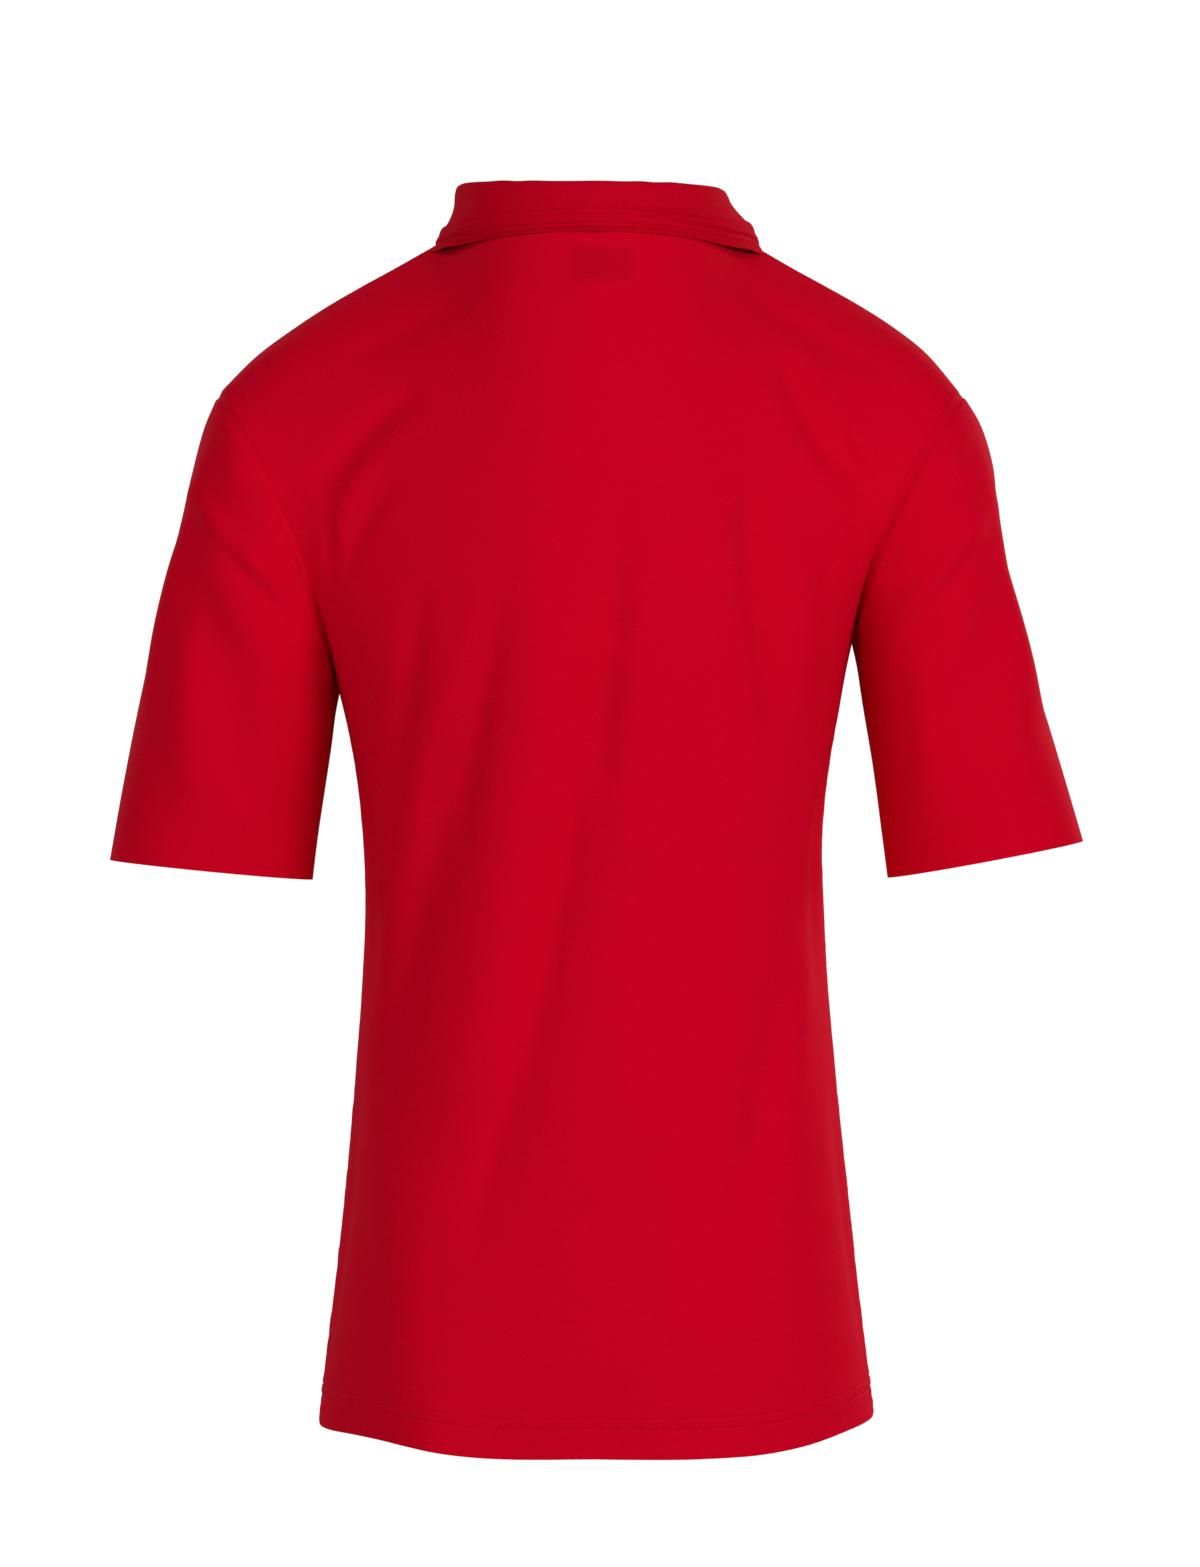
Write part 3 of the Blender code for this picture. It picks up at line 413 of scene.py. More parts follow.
def new_mesh(name, points, faces, places, finish):
    """A smooth-shaded piece at the origin from points, four-cornered faces and each corner's place on the
    flat cloth."""
    used, faces = np.unique(faces, return_inverse=True)
    faces = faces.reshape(-1, 4)
    mesh = bpy.data.meshes.new(name)
    mesh.vertices.add(len(used))
    mesh.vertices.foreach_set("co", points[used].astype(np.float32).ravel())
    mesh.loops.add(faces.size)
    mesh.loops.foreach_set("vertex_index", faces.astype(np.int32).ravel())
    mesh.polygons.add(len(faces))
    mesh.polygons.foreach_set("loop_start", np.arange(0, faces.size, 4, dtype=np.int32))
    mesh.update(calc_edges=True)
    weave = mesh.uv_layers.new(name="weave")
    weave.data.foreach_set("uv", places.astype(np.float32).ravel())
    mesh.shade_smooth()
    mesh.set_sharp_from_angle(angle=math.radians(60))
    mesh.materials.append(finish)
    return linked(name, mesh)


def shell(name, outer, inner, places, finish, missing=None, loop=False):
    """A closed shell of cloth from its outer and inner grids. places holds each point's place on the flat
    cloth, with one more column where the grid closes on itself."""
    rows, columns = outer.shape[:2]
    index = np.arange(rows * columns).reshape(rows, columns)
    if loop:
        index = np.concatenate([index, index[:, :1]], axis=1)
    corners = [(slice(None, -1), slice(None, -1)), (slice(1, None), slice(None, -1))]
    corners += [(slice(1, None), slice(1, None)), (slice(None, -1), slice(1, None))]
    cells = np.stack([index[corner] for corner in corners], axis=-1)
    flat = np.stack([places[corner] for corner in corners], axis=-2)
    if missing is not None:
        cells, flat = cells[~missing], flat[~missing]
    cells, flat = cells.reshape(-1, 4), flat.reshape(-1, 4, 2)
    points = outer.reshape(-1, 3)
    at = points[cells]
    facing = np.cross(at[:, 2] - at[:, 0], at[:, 3] - at[:, 1])
    outwards = (points - inner.reshape(-1, 3))[cells].mean(axis=1)
    if (facing * outwards).sum() < 0:
        cells, flat = cells[:, ::-1], flat[:, ::-1]
    first, second = cells.reshape(-1), np.roll(cells, -1, axis=1).reshape(-1)
    first_flat, second_flat = flat.reshape(-1, 2), np.roll(flat, -1, axis=1).reshape(-1, 2)
    count = len(points)
    free = ~np.isin(first * count + second, second * count + first)
    first, second, first_flat, second_flat = first[free], second[free], first_flat[free], second_flat[free]
    rims = np.stack([second, first, first + count, second + count], axis=1)
    rims_flat = np.stack([second_flat, first_flat, first_flat, second_flat], axis=1)
    faces = np.concatenate([cells, cells[:, ::-1] + count, rims])
    flat = np.concatenate([flat, flat[:, ::-1], rims_flat])
    return new_mesh(name, np.concatenate([points, inner.reshape(-1, 3)]), faces, flat, finish)


def linear(colour):
    """Linear light of an 8-bit sRGB colour, with full opacity."""
    share = np.array(colour) / 255
    return (*np.where(share <= 0.04045, share / 12.92, ((share + 0.055) / 1.055) ** 2.4), 1.0)


def maths(tree, operation, first, second):
    """A Math node on two values, each a number or another node's output. Gives its output."""
    made = tree.nodes.new("ShaderNodeMath")
    made.operation = operation
    for socket, value in zip(made.inputs, (first, second)):
        if isinstance(value, (int, float)):
            socket.default_value = value
        else:
            tree.links.new(value, socket)
    return made.outputs["Value"]


def scaled(tree, value, factor, added):
    """A value times a factor, and a constant added."""
    made = maths(tree, "MULTIPLY_ADD", value, factor)
    made.node.inputs[2].default_value = added
    return made


def noise(tree, place, scale, detail):
    """A Noise Texture's output, read at this place."""
    made = tree.nodes.new("ShaderNodeTexNoise")
    made.inputs["Scale"].default_value = scale
    made.inputs["Detail"].default_value = detail
    tree.links.new(place, made.inputs["Vector"])
    return made.outputs["Fac"]


def group(name, inputs, outputs):
    """An empty shader node group with these inputs and outputs, and its two end nodes."""
    tree = bpy.data.node_groups.new(name, "ShaderNodeTree")
    for socket, kind in inputs:
        tree.interface.new_socket(name=socket, in_out="INPUT", socket_type=kind)
    for socket in outputs:
        tree.interface.new_socket(name=socket, in_out="OUTPUT", socket_type="NodeSocketFloat")
    return tree, tree.nodes.new("NodeGroupInput"), tree.nodes.new("NodeGroupOutput")


# Dye: cotton takes it a little unevenly, in slow clouds and in single yarns.
dye, dye_in, dye_out = group("uneven dye", [("Place", "NodeSocketVector")], ["Shade"])
clouds = scaled(dye, noise(dye, dye_in.outputs["Place"], 14, 2), 0.06, 0.97)
yarns = scaled(dye, noise(dye, dye_in.outputs["Place"], 900, 3), 0.06, 0.97)
dye.links.new(maths(dye, "MULTIPLY", clouds, yarns), dye_out.inputs["Shade"])

# Pique: small raised cells in staggered rows, with a tuck hole between each four, and long faint streaks
# along the rows where the yarn is thicker or thinner. The colour also carries a painted shade, darker where
# the relief passes between the cells and the holes.
knit, knit_in, knit_out = group(
    "pique knit",
    [("Flat place", "NodeSocketVector"), ("Wale", "NodeSocketFloat"), ("Course", "NodeSocketFloat")],
    ["Height", "Shade"],
)
split = knit.nodes.new("ShaderNodeSeparateXYZ")
knit.links.new(knit_in.outputs["Flat place"], split.inputs[0])
waves = []
for axis, pitch in (("X", "Wale"), ("Y", "Course")):
    turns = maths(knit, "DIVIDE", split.outputs[axis], knit_in.outputs[pitch])
    waves.append(maths(knit, "COSINE", maths(knit, "MULTIPLY", turns, math.pi), 0.0))
cells_up = maths(knit, "MULTIPLY", waves[0], waves[1])
fibres = noise(knit, knit_in.outputs["Flat place"], 2600, 2)
height = maths(knit, "MULTIPLY_ADD", fibres, 0.7)
knit.links.new(cells_up, height.node.inputs[2])
knit.links.new(height, knit_out.inputs["Height"])
# Painted shade: the colour is darkest where the cells' relief passes its middle level, between each cell and
# hole.
painted_cell_shade = scaled(knit, maths(knit, "ABSOLUTE", cells_up, 0.0), 0.16, 0.90)
drawn_out = knit.nodes.new("ShaderNodeMapping")
drawn_out.inputs["Scale"].default_value = (16, 620, 1)
knit.links.new(knit_in.outputs["Flat place"], drawn_out.inputs["Vector"])
streaks = scaled(knit, noise(knit, drawn_out.outputs["Vector"], 1, 2), 0.08, 0.96)
knit.links.new(maths(knit, "MULTIPLY", painted_cell_shade, streaks), knit_out.inputs["Shade"])


# Neck label: where it lies inside the back, the cloth's colour is darkened a little. This is a painted shade
# of the label seen through the cloth.
LABEL_MIDDLE = (0.0040, -0.0262)
LABEL_SIZE = (0.0370, 0.0220)
painted_label_shade, painted_label_shade_in, painted_label_shade_out = group("label behind cloth", [("Place", "NodeSocketVector")], ["Shade"])
painted_label_shade_split = painted_label_shade.nodes.new("ShaderNodeSeparateXYZ")
painted_label_shade.links.new(painted_label_shade_in.outputs["Place"], painted_label_shade_split.inputs[0])
within = [maths(painted_label_shade, "LESS_THAN", painted_label_shade_split.outputs["Y"], 0.0)]
for axis, middle, size in zip("XZ", LABEL_MIDDLE, LABEL_SIZE):
    far = maths(painted_label_shade, "ABSOLUTE", maths(painted_label_shade, "SUBTRACT", painted_label_shade_split.outputs[axis], middle), 0.0)
    fade = painted_label_shade.nodes.new("ShaderNodeMapRange")
    fade.interpolation_type = "SMOOTHSTEP"
    fade.inputs["From Min"].default_value = size / 2 - 0.0030
    fade.inputs["From Max"].default_value = size / 2 + 0.0020
    fade.inputs["To Min"].default_value = 1
    fade.inputs["To Max"].default_value = 0
    painted_label_shade.links.new(far, fade.inputs["Value"])
    within.append(fade.outputs["Result"])
covered = maths(painted_label_shade, "MULTIPLY", maths(painted_label_shade, "MULTIPLY", within[0], within[1]), within[2])
# Painted shade: the colour is 11 % darker inside the label's rectangle on the back.
painted_label_shade.links.new(scaled(painted_label_shade, covered, -0.11, 1.0), painted_label_shade_out.inputs["Shade"])


def new_material(name, roughness, specular):
    """A material of this roughness and strength of reflection, and its node tree."""
    made = bpy.data.materials.new(name)
    made.use_nodes = True
    shader = made.node_tree.nodes["Principled BSDF"]
    shader.inputs["Roughness"].default_value = roughness
    shader.inputs["Specular IOR Level"].default_value = specular
    return made, made.node_tree


def grouped(tree, effect, socket, place):
    """A group's node in this tree, which reads a place at one of its sockets."""
    made = tree.nodes.new("ShaderNodeGroup")
    made.node_tree = effect
    tree.links.new(place, made.inputs[socket])
    return made


def colour_by(tree, colour, shade):
    """Gives the tree's shader this colour, darkened by a shade."""
    tone = tree.nodes.new("ShaderNodeHueSaturation")
    tone.inputs["Color"].default_value = linear(colour)
    tree.links.new(shade, tone.inputs["Value"])
    tree.links.new(tone.outputs["Color"], tree.nodes["Principled BSDF"].inputs["Base Color"])


def cloth_material(name, colour, wale, course, relief):
    """Dyed knit: the uneven dye, the knit's streaks, the painted shade between the knit's cells, and the
    painted shade of the label inside the back darken the colour. The knit's height is a bump. A course that
    is far longer than the piece turns the cells into ribs."""
    made, tree = new_material(name, 0.88, 0.02)
    place = tree.nodes.new("ShaderNodeTexCoord").outputs["Object"]
    flat = tree.nodes.new("ShaderNodeUVMap")
    flat.uv_map = "weave"
    dyed = grouped(tree, dye, "Place", place)
    label_shaded = grouped(tree, painted_label_shade, "Place", place)
    knitted = grouped(tree, knit, "Flat place", flat.outputs["UV"])
    knitted.inputs["Wale"].default_value = wale
    knitted.inputs["Course"].default_value = course
    # The dye's uneven tone times the knit's shade, which holds painted shade between its cells, times the
    # label's painted shade.
    shade = maths(tree, "MULTIPLY", dyed.outputs["Shade"], knitted.outputs["Shade"])
    colour_by(tree, colour, maths(tree, "MULTIPLY", shade, label_shaded.outputs["Shade"]))
    bump = tree.nodes.new("ShaderNodeBump")
    bump.inputs["Strength"].default_value = 0.3
    bump.inputs["Distance"].default_value = relief
    tree.links.new(knitted.outputs["Height"], bump.inputs["Height"])
    tree.links.new(bump.outputs["Normal"], tree.nodes["Principled BSDF"].inputs["Normal"])
    return made


PIQUE_RED = (212, 0, 36)
pique = cloth_material("pique", PIQUE_RED, 0.0012, 0.0010, 0.00018)

fine_rows = np.concatenate([
    np.arange(0, YOKE_ROWS + SKIRT_ROWS - 1, 1 / ROWS_BETWEEN),
    YOKE_ROWS + SKIRT_ROWS - 1 + np.linspace(0, 1, HEM_ROWS + 1),
])
column_count = 2 * (1 + NECK_COLUMNS + SHOULDER_COLUMNS)
fine_columns = np.linspace(0, column_count, column_count * COLUMNS_BETWEEN + 1)
cut, cut_out, fine, fine_out, seams = {}, {}, {}, {}, {}
for face, name, node in ((-1, "pique_back", "back"), (1, "pique_front", "front")):
    cut[face], cut_out[face], plain = panel(face)
    smooth = refined(cut[face], fine_rows, fine_columns)
    rows, columns = fine_rows[:, None], fine_columns[None, :] - column_count / 2
    from_middle = np.abs(columns)
    by_neck = bell(from_middle - NECK_COLUMNS - 1, 4) * step(14, 8, rows)
    by_neck = by_neck * step(1.5, 6, from_middle) * step(13, 9, from_middle)
    by_underarm = bell(rows - YOKE_ROWS, 4) * bell(column_count / 2 - from_middle, 4)
    smooth = relaxed(smooth, np.maximum(by_neck, by_underarm), EASE_PASSES)
    outwards = -face * normals(smooth)
    down, across = run_down(smooth), run_across(smooth)
    to_edge = down[-1] - down
    to_side = np.minimum(across, across[:, -1:] - across)
    to_shoulder = np.where(from_middle < NECK_COLUMNS + 1, 1.0, down)
    calm_top = step(0, 2, rows)
    calm = step(0.004, 0.03, to_side) * calm_top
    in_slot = (face > 0) & (from_middle < 1.6) & (rows < SLOT_ROWS + 0.6)
    moved = fold(smooth, CREASES[face]) * np.where(in_slot, 0, calm)
    drawn_in = sum(depth * step(height, 0, to_edge) for depth, height in HEM_PULLS)
    moved -= drawn_in * step(0, 0.080, to_side)
    at_side = step(0, 0.02, to_side) * step(0.08, 0.03, to_side) * step(10, 13, rows)
    moved += fold(smooth[..., [1, 0, 2]], SIDE_CREASES) * at_side
    moved -= ARMHOLE_SINK * step(4, 10, rows) * step(17, 11, rows) * bell(to_side, 0.009)
    smooth = smooth + outwards * moved[..., None]
    smooth[..., 2] -= HEM_FALL * step(HEM_PULLS[0][1], 0, to_edge)
    outwards = -face * normals(smooth)
    relief = hem_relief(to_edge, across, 1.0 + face)
    relief -= mix(*SEAM_DEPTHS, step(2, 7, rows)) * bell(to_side, SEAM_HALF_WIDTH)
    relief -= SEAM_DEPTHS[0] * bell(to_shoulder, SEAM_HALF_WIDTH)
    relief += 0.00030 * ripple(down, 0.013, 0.5 * face) * bell(to_side - 0.005, 0.006) * calm_top
    fine[face] = smooth + outwards * relief[..., None]
    fine_out[face] = -face * normals(fine[face])
    inner = smooth - outwards * (CLOTH + 0.0008 * bell(to_side, 0.0020))[..., None]
    missing = None
    if face > 0:
        missing = (fine_rows[:-1, None] < SLOT_ROWS - 0.01) & (np.abs(columns[:, :-1] + 0.01) < 1)
    seams[face] = smooth, fine[face], inner
    places = flat_places(refined(plain, fine_rows, fine_columns))
    piece = shell(name, fine[face], inner, places, pique, missing)
    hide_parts(node)
    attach(piece, "root")


# Label. A plain woven label without print is sewn inside the back of the neck. It lies on the points of
# the back's inner face, which are weighed by the inverse of their distance to the fourth power.
LABEL_INNER, LABEL_OUTER = 0.0005, 0.0009  # how far its two faces stand in from the back
LABEL_REACH = 5 * ROWS_BETWEEN  # fine rows of the back that are near it

label_x = LABEL_MIDDLE[0] + np.linspace(-0.5, 0.5, 25) * LABEL_SIZE[0]
label_z = LABEL_MIDDLE[1] - np.linspace(-0.5, 0.5, 15) * LABEL_SIZE[1]
label_grid = np.stack(np.broadcast_arrays(label_x[None, :], 0.0, label_z[:, None]), axis=-1).copy()
inside_back = seams[-1][2][:LABEL_REACH].reshape(-1, 3)
away = ((label_grid[:, :, None, ::2] - inside_back[:, ::2]) ** 2).sum(axis=-1)
weights = 1 / (away + 1e-7) ** 2
label_grid[..., 1] = (weights * inside_back[:, 1]).sum(axis=-1) / weights.sum(axis=-1)
label_in = normals(label_grid)
label_in *= np.sign(label_in[..., 1:2])
label_face, label_back = label_grid + LABEL_OUTER * label_in, label_grid + LABEL_INNER * label_in
label_cloth = cloth_material("label_cloth", (150, 8, 30), 0.0004, 0.0004, 0.00005)
piece = shell("neck_label", label_face, label_back, label_grid[..., ::2], label_cloth)
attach(piece, "root")


# Sleeves. Each is one piece of the same pique, set into its armhole with an overlocked seam and closed by
# a seam under the arm. The cuff is turned up and sewn with the twin needle, as the hem is.
SLEEVE_GAP = 0.0001
SLEEVE_ROWS = 9
SLEEVE_CROWDING = 1.15  # power that sets the rings closer by the armhole
SLEEVE_ROUNDNESS = 0.95
BOW_REACH = 0.3  # share of the sleeve over which the armhole's bow fades
SLEEVE_FRONT_FOLDS = 0.8  # strength of the folds on its front beside those on its back
UNDERARM_SINK, SLEEVE_FALL = 0.0012, 0.0028  # of the cloth under the arm, and below the seam's level
SLEEVE = {  # share of the way, outer x, outer z, inner x, inner z
    -1: (
        (0.00, -0.2257, -0.0940, -0.1580, -0.2680),
        (0.07, -0.2335, -0.1120, -0.1582, -0.2765),
        (0.14, -0.2392, -0.1310, -0.1588, -0.2850),
        (0.27, -0.2480, -0.1680, -0.1604, -0.3005),
        (0.52, -0.2656, -0.2400, -0.1646, -0.3310),
        (0.77, -0.2812, -0.3120, -0.1690, -0.3620),
        (1.00, -0.2934, -0.3785, -0.1724, -0.3902),
    ),
    1: (
        (0.00, 0.2196, -0.0940, 0.1583, -0.2380),
        (0.07, 0.2303, -0.1115, 0.1592, -0.2500),
        (0.14, 0.2376, -0.1300, 0.1606, -0.2610),
        (0.27, 0.2418, -0.1660, 0.1636, -0.2820),
        (0.52, 0.2560, -0.2370, 0.1694, -0.3190),
        (0.77, 0.2770, -0.3060, 0.1742, -0.3560),
        (1.00, 0.2952, -0.3672, 0.1786, -0.3890),
    ),
}
SLEEVE_DEPTH = (  # share of the way, half of the sleeve's depth, how far its middle lies to the front
    (0.00, 0.0660, 0.0000), (0.14, 0.0680, 0.0010), (0.30, 0.0680, 0.0030), (0.52, 0.0630, 0.0055),
    (0.77, 0.0560, 0.0080), (1.00, 0.0495, 0.0100),
)
SLEEVE_FOLDS = {
    -1: (
        (-0.216, -0.115, -0.176, -0.205, 0.008, 0.011, -0.0028),
        (-0.232, -0.150, -0.182, -0.270, 0.010, 0.013, -0.0032),
        (-0.248, -0.190, -0.240, -0.340, 0.004, 0.017, -0.0034),
    ),
    1: (
        (0.214, -0.118, 0.182, -0.200, -0.008, 0.011, -0.0028),
        (0.232, -0.160, 0.196, -0.280, -0.008, 0.013, -0.0030),
        (0.246, -0.205, 0.252, -0.330, -0.004, 0.016, -0.0028),
    ),
}
SLEEVE_CREASES = {
    -1: (
        (-0.242, -0.150, -0.196, -0.208, 0.003, 0.0060, -0.0036),
        (-0.212, -0.192, -0.160, -0.232, 0.003, 0.0060, -0.0038),
        (-0.228, -0.164, -0.176, -0.242, 0.005, 0.0070, 0.0020),
        (-0.222, -0.118, -0.174, -0.200, 0.004, 0.0070, -0.0034),
        (-0.240, -0.190, -0.236, -0.360, 0.003, 0.0130, -0.0034),
        (-0.216, -0.240, -0.208, -0.350, 0.002, 0.0110, 0.0018),
        (-0.192, -0.250, -0.190, -0.360, 0.002, 0.0080, -0.0020),
    ),
    1: (
        (0.218, -0.120, 0.180, -0.198, -0.004, 0.0065, -0.0030),
        (0.236, -0.160, 0.174, -0.234, -0.006, 0.0060, -0.0030),
        (0.226, -0.180, 0.182, -0.248, -0.006, 0.0070, 0.0022),
        (0.246, -0.205, 0.254, -0.340, -0.003, 0.0120, -0.0026),
        (0.226, -0.250, 0.226, -0.350, -0.002, 0.0100, 0.0014),
        (0.192, -0.256, 0.198, -0.356, -0.002, 0.0080, -0.0018),
    ),
}
SLEEVE_SIDE_CREASES = (  # start y, start z, end y, end z, and the rest as above
    (-0.034, -0.120, -0.018, -0.300, 0.006, 0.0110, -0.0042),
    (0.034, -0.130, 0.030, -0.330, -0.006, 0.0120, -0.0046),
    (-0.004, -0.160, 0.006, -0.340, 0.003, 0.0100, 0.0010),
)


def armhole_axis(side):
    """Unit direction square to the armhole's chord, away from the body."""
    chord = np.array(UNDERARM[side]) - np.array(TIP[side])
    return unit(np.array([side * abs(chord[2]), 0, -abs(chord[0])]))


def sleeve(side):
    """A sleeve's rings with their large folds. Each ring is an oval on the line from the shoulder's side
    to the underarm's, its depth a power of the sine, and the first ring is the armhole's own seam."""
    share = np.linspace(0, 1, SLEEVE_ROWS + 1) ** SLEEVE_CROWDING
    lines = read(SLEEVE[side], share)
    depths = read(SLEEVE_DEPTH, share)
    zero = np.zeros(len(share))
    outer = np.stack([lines[:, 0], zero, lines[:, 1]], axis=1)[:, None]
    inner = np.stack([lines[:, 2], zero, lines[:, 3]], axis=1)[:, None]
    turn = np.linspace(0, 2 * math.pi, 2 * YOKE_ROWS + 1)[:-1]
    face = np.where(turn <= math.pi, -1, 1)
    across = np.abs(np.sin(turn))
    grid = mix(outer, inner, ((1 - np.cos(turn)) / 2)[None, :, None])
    grid[..., 1] = depths[:, 1:2] + face * depths[:, 0:1] * across**SLEEVE_ROUNDNESS
    bow = np.where(face < 0, ARMHOLE_BOW[-1], ARMHOLE_BOW[1]) * across**2
    grid[..., 0] -= side * bow * np.clip(1 - share / BOW_REACH, 0, 1)[:, None] ** 2
    yoke = np.linspace(0, 1, YOKE_ROWS + 1)
    grid[0] = np.concatenate([armhole(-1, side, yoke), armhole(1, side, yoke)[-2:0:-1]])
    out = side * normals(grid, loop=True)
    calm = (step(0, 0.25, share) * step(1.05, 0.75, share))[:, None]
    back_or_front = np.where(face < 0, 1, SLEEVE_FRONT_FOLDS) * step(0.1, 0.5, across)
    grid += out * (fold(grid, SLEEVE_FOLDS[side]) * calm * back_or_front)[..., None]
    grid[0] += SLEEVE_GAP * armhole_axis(side)
    return grid


sleeve_rows = np.concatenate([
    np.linspace(0, 1, 25)[:-1],
    np.arange(1, SLEEVE_ROWS - 1, 0.1),
    SLEEVE_ROWS - 1 + np.linspace(0, 1, HEM_ROWS + 1),
])
sleeve_columns = np.arange(0, 2 * YOKE_ROWS * ROWS_BETWEEN) / ROWS_BETWEEN
cuffs = {}
for side, name, node in ((-1, "pique_sleeve_left", "sleeve_left"), (1, "pique_sleeve_right", "sleeve_right")):
    last = YOKE_ROWS * ROWS_BETWEEN
    edges = [
        np.concatenate([back[: last + 1], front[last - 1 : 0 : -1]])[:, -1 if side > 0 else 0]
        for back, front in zip(seams[-1], seams[1])
    ]
    edges = np.array(edges) + SLEEVE_GAP * armhole_axis(side)
    smooth = refined(sleeve(side), sleeve_rows, sleeve_columns, loop=True)
    smooth += (edges[0] - smooth[0]) * step(0.03, 0, run_down(smooth))[..., None]
    outwards = side * normals(smooth, loop=True)
    down = run_down(smooth)
    to_edge = down[-1] - down
    around = run_across(np.concatenate([smooth, smooth[:, :1]], axis=1))
    under = np.abs(around[:, :-1] - around[:, len(sleeve_columns) // 2][:, None])
    turn = sleeve_columns * math.pi / YOKE_ROWS
    calm = step(0.006, 0.04, down) * step(0.02, 0.06, to_edge) * np.where(turn <= math.pi, 1, 0.7)
    below_tip = (1 - np.cos(turn)) / 2
    low = step(0.35, 0.95, below_tip)
    moved = fold(smooth, SLEEVE_CREASES[side]) * calm * step(0.15, 0.5, np.abs(np.sin(turn)))
    at_side = step(0.2, 0.7, np.cos(turn)) * step(0, 0.3, np.abs(np.sin(turn)))
    moved += fold(smooth[..., [1, 0, 2]], SLEEVE_SIDE_CREASES) * calm * at_side
    moved -= UNDERARM_SINK * low * bell(down, 0.009)
    fall = np.sin(math.pi / 2 * np.clip(down / 0.014, 0, 1)) * step(0.12, 0.03, down)
    moved -= SLEEVE_FALL * step(0.02, 0.25, below_tip) * (1 - 0.7 * low) * fall
    smooth = smooth + outwards * moved[..., None]
    outwards = side * normals(smooth, loop=True)
    relief = hem_relief(to_edge, around[:, :-1], 2.0 + side)
    relief -= mix(*SEAM_DEPTHS, low) * bell(down, SEAM_HALF_WIDTH) + 0.0005 * bell(under, SEAM_HALF_WIDTH)
    relief += 0.00030 * ripple(around[:, :-1], 0.012, side) * bell(down - 0.006, 0.006) * step(0, 0.1, low)
    outer = smooth + outwards * relief[..., None]
    outer += (edges[1] - outer[0]) * step(0.008, 0, down)[..., None]
    inner = smooth - outwards * (CLOTH + 0.0008 * bell(down, 0.0020))[..., None]
    inner += (edges[2] - inner[0]) * step(0.008, 0, down)[..., None]
    places = np.stack([around, np.concatenate([down, down[:, :1]], axis=1)], axis=-1)
    piece = shell(name, outer, inner, places, pique, loop=True)
    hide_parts(node)
    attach(piece, "root")
    cuffs[side] = outer, side * normals(outer, loop=True), to_edge


# Stitches. The hem, the cuffs, the back neck and the placket are sewn with red cotton thread. Each stitch
# is a short loop that rises from the cloth and sinks back into it.
THREAD_RADIUS = 0.00019
STITCH_LENGTH, STITCH_PITCH = 0.0026, 0.0031
STITCH_ROUND = 6  # points round a stitch
STITCH_RINGS = 4

THREAD_RED = (216, 4, 44)
thread, thread_tree = new_material("thread", 0.6, 0.12)
thread_place = thread_tree.nodes.new("ShaderNodeTexCoord").outputs["Object"]
colour_by(thread_tree, THREAD_RED, grouped(thread_tree, dye, "Place", thread_place).outputs["Shade"])


def level_line(values, grid, out, level):
    """Points and outward directions where a value that falls down each column passes a level, found by a
    straight line between the two rows on either side of it."""
    above = np.clip((values > level).sum(axis=0) - 1, 0, len(values) - 2)
    column = np.arange(values.shape[1])
    high, low = values[above, column], values[above + 1, column]
    share = ((high - level) / (high - low))[:, None]
    line = mix(grid[above, column], grid[above + 1, column], share)
    return line, unit(mix(out[above, column], out[above + 1, column], share))


def stitch_points(line, out, pitch=STITCH_PITCH, length=STITCH_LENGTH, radius=THREAD_RADIUS):
    """Points of a row of stitches along a line. Each is a rod whose radius is a power of the sine along
    it and whose middle rises by the same sine, so both of its ends are in the cloth."""
    run = run_down(line[:, None])[:, 0]
    count = max(int(run[-1] / pitch), 1)
    middle = mix(length / 2, run[-1] - length / 2, (np.arange(count) + 0.5) / count)
    along = np.linspace(-0.5, 0.5, STITCH_RINGS + 2)
    places = (middle[:, None] + along * length).ravel()
    path = np.stack([np.interp(places, run, line[:, k]) for k in range(3)], axis=-1)
    up = unit(np.stack([np.interp(places, run, out[:, k]) for k in range(3)], axis=-1))
    path, up = path.reshape(count, -1, 3), up.reshape(count, -1, 3)
    beside = unit(np.cross(np.gradient(path, axis=1), up))
    swell = np.cos(math.pi * along)[None, :, None]
    path = path + up * radius * (0.9 * swell - 0.35)
    turn = np.arange(STITCH_ROUND) * 2 * math.pi / STITCH_ROUND
    ring = beside[:, 1:-1, None] * np.cos(turn)[:, None] + up[:, 1:-1, None] * np.sin(turn)[:, None]
    rings = path[:, 1:-1, None] + ring * radius * swell[:, 1:-1, None] ** 0.5
    return np.concatenate([path[:, :1], rings.reshape(count, -1, 3), path[:, -1:]], axis=1)


def stitches(name, rows):
    """One piece of thread from several rows of stitch points, closed to a point at each stitch's ends."""
    points = np.concatenate(rows)
    count, each = points.shape[:2]
    around = np.arange(STITCH_ROUND)
    after = (around + 1) % STITCH_ROUND
    quads = [
        np.stack([1 + ring * STITCH_ROUND + around, 1 + ring * STITCH_ROUND + after,
                  1 + (ring + 1) * STITCH_ROUND + after, 1 + (ring + 1) * STITCH_ROUND + around], axis=1)
        for ring in range(STITCH_RINGS - 1)
    ]
    last = 1 + (STITCH_RINGS - 1) * STITCH_ROUND
    starts = np.stack([0 * around, 1 + after, 1 + around], axis=1)
    ends = np.stack([last + around, last + after, 0 * around + each - 1], axis=1)
    shift = (np.arange(count) * each)[:, None, None]
    quads = (np.concatenate(quads) + shift).reshape(-1, 4)
    triangles = (np.concatenate([starts, ends]) + shift).reshape(-1, 3)
    mesh = bpy.data.meshes.new(name)
    mesh.from_pydata(points.reshape(-1, 3), [], triangles.tolist() + quads.tolist())
    mesh.shade_smooth()
    mesh.materials.append(thread)
    piece = linked(name, mesh)
    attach(piece, "root")


